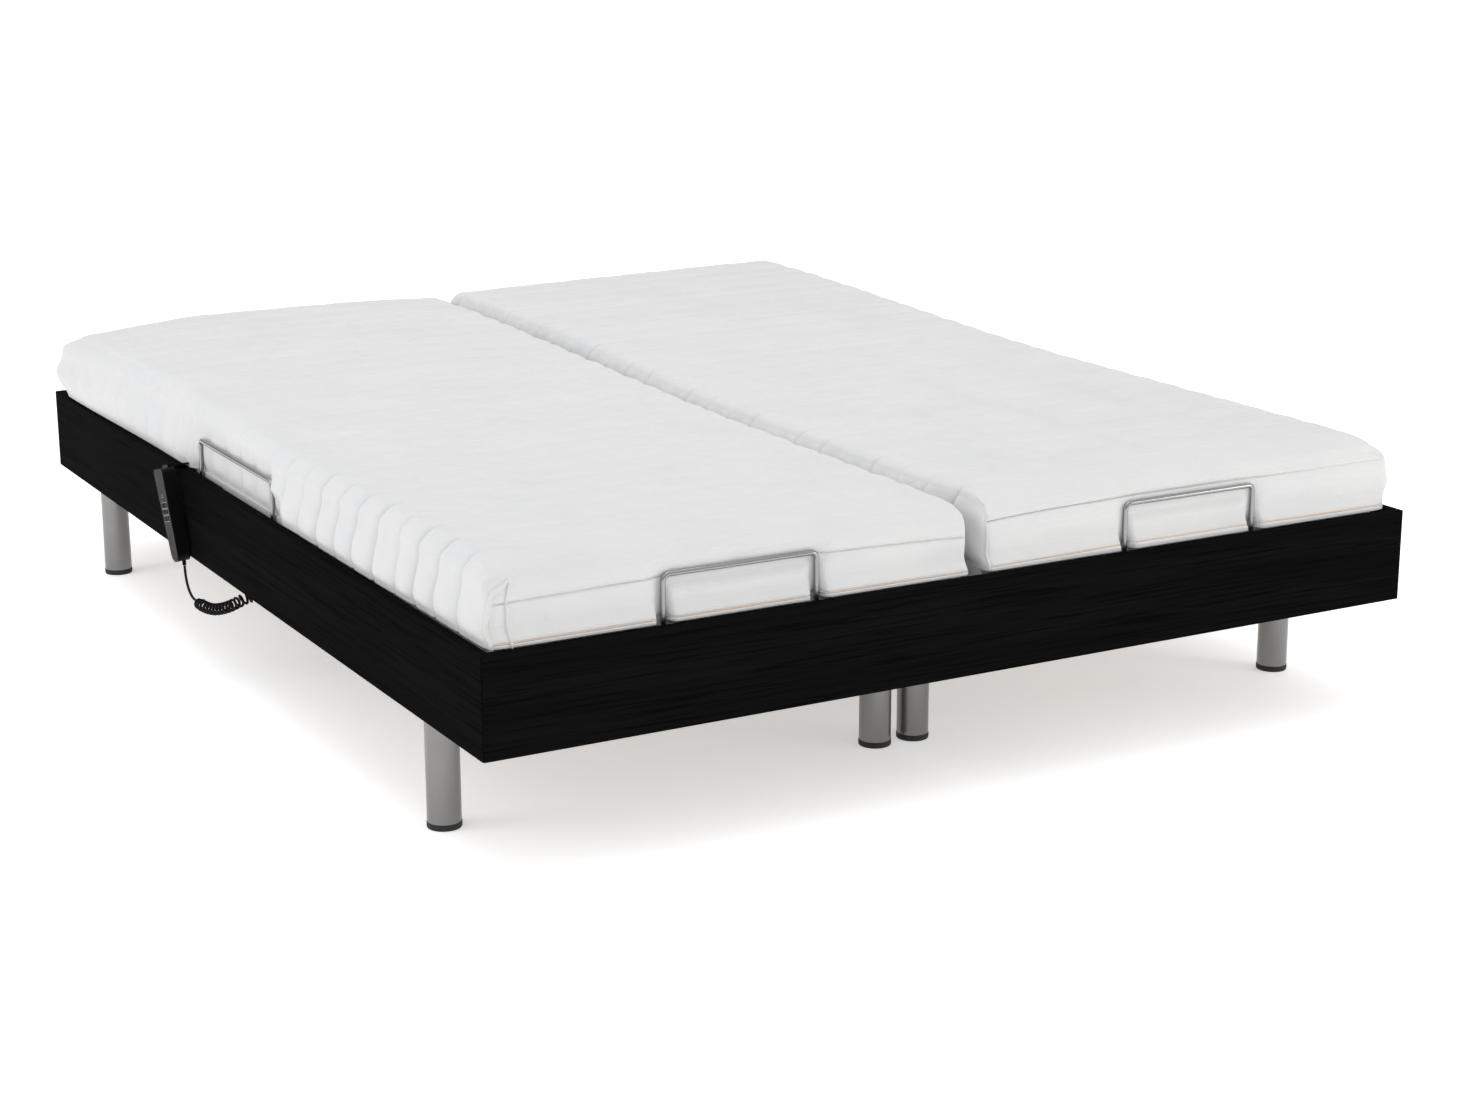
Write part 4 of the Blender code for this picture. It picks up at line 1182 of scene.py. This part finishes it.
def handset_frame():
    """Handset axes: x across it, y down along it and z out of its key face."""
    across = Vector((0, math.cos(HANDSET_LEAN), -math.sin(HANDSET_LEAN)))
    down = Vector((0, -math.sin(HANDSET_LEAN), -math.cos(HANDSET_LEAN)))
    out = Vector((-1, 0, 0))
    down, out = (
        down * math.cos(HANDSET_TILT) - out * math.sin(HANDSET_TILT),
        out * math.cos(HANDSET_TILT) + down * math.sin(HANDSET_TILT),
    )
    axes = Matrix((across, down, out)).transposed().to_4x4()
    axes.translation = HANDSET_TOP
    return axes


def ring(width, height, thick, z, axes):
    """A thin printed outline: a rectangle with cut corners and a small rise."""
    points, faces = [], []
    cut = 0.0016
    for grow, rise in ((0, 0.0), (0, 0.00012), (-thick, 0.00012), (-thick, 0.0)):
        w, h, k = width / 2 + grow, height / 2 + grow, cut
        for x, y in (
            (w - k, -h),
            (w, -h + k),
            (w, h - k),
            (w - k, h),
            (-w + k, h),
            (-w, h - k),
            (-w, -h + k),
            (-w + k, -h),
        ):
            points.append(axes @ Vector((x, y, z + rise)))
    for i in range(4):
        for k in range(8):
            a, b = i * 8 + k, i * 8 + (k + 1) % 8
            c, d = ((i + 1) % 4) * 8 + (k + 1) % 8, ((i + 1) % 4) * 8 + k
            faces.append((a, b, c, d))
    return points, faces


def build_handset_print():
    axes = handset_frame()
    shape = Shape()
    for row in range(3):
        for column in (-1, 1):
            centre = axes @ Matrix.Translation((column * 0.0085, 0.064 + row * 0.0118, 0))
            shape.add(*ring(0.0150, 0.0108, 0.0006, HANDSET_DEPTH, centre))
    printed = shape.piece("handset_key_outlines", [key_print])
    place(printed, "handset", "key_plastic")
    shape = Shape()
    mark = axes @ Matrix.Translation((0, 0.046, HANDSET_DEPTH))
    dot = ((0.0, 0.0026), (0.0002, 0.0026), (0.0004, 0.0020))
    shape.add(*turned(dot, mark.translation, axes.col[2].xyz, 20))
    shape.add(*soft_box((-0.0075, 0.0032, 0.0), (0.0075, 0.0044, 0.0003), 0.0001, 1, mark))
    spot = shape.piece("handset_mark", [mark_blue])
    place(spot, "handset", "key_plastic")


build_handset_print()

# ---------------------------------------------------------------- studio


def add_light(name, position, target, energy, size, colour=(1, 1, 1)):
    data = bpy.data.lights.new(name, "AREA")
    data.energy = energy
    data.color = colour
    data.shape = "DISK"
    data.size = size
    light = bpy.data.objects.new(name, data)
    bpy.context.scene.collection.objects.link(light)
    turn = (Vector(target) - Vector(position)).to_track_quat("-Z", "Y")
    light.matrix_world = Matrix.Translation(position) @ turn.to_matrix().to_4x4()


def studio():
    floor = bpy.data.meshes.new("studio_floor")
    half = 30.0
    corners = [(-half, -half, 0), (half, -half, 0), (half, half, 0), (-half, half, 0)]
    floor.from_pydata(corners, [], [(0, 1, 2, 3)])
    look = Nodes("floor_paper", (0.93, 0.93, 0.93), 0.9, Specular_IOR_Level=0.0)
    look.shader.inputs["Emission Color"].default_value = (1, 1, 1, 1)
    look.shader.inputs["Emission Strength"].default_value = 0.45
    floor.materials.append(look.material)
    ground = bpy.data.objects.new("studio_floor", floor)
    bpy.context.scene.collection.objects.link(ground)
    world = bpy.data.worlds.new("studio")
    bpy.context.scene.world = world
    world.use_nodes = True
    tree = world.node_tree
    height = tree.nodes.new("ShaderNodeSeparateXYZ")
    tree.links.new(tree.nodes.new("ShaderNodeTexCoord").outputs["Generated"], height.inputs["Vector"])
    sky = tree.nodes.new("ShaderNodeValToRGB")
    sky.color_ramp.elements[0].position = 0.08
    sky.color_ramp.elements[0].color = (1.0, 1.0, 1.0, 1)
    sky.color_ramp.elements[1].position = 0.65
    sky.color_ramp.elements[1].color = (0.95, 0.955, 0.965, 1)
    dim = sky.color_ramp.elements.new(0.20)
    dim.color = (0.30, 0.30, 0.31, 1)
    tree.links.new(height.outputs["Z"], sky.inputs["Fac"])
    tree.links.new(sky.outputs["Color"], tree.nodes["Background"].inputs["Color"])
    add_light("overhead", (-0.3, 0.0, 4.5), (0, 0.0, 0.4), 45, 4.0)
    add_light("front", (4.2, -4.6, 1.6), (0.5, -0.9, 0.35), 66, 2.4, (1.0, 0.95, 0.865))
    add_light("window", (-5.0, 0.5, 3.0), (0, 0, 0.35), 45, 3.0, (1.0, 0.995, 0.985))
    bpy.context.scene.view_settings.view_transform = "Standard"


studio()
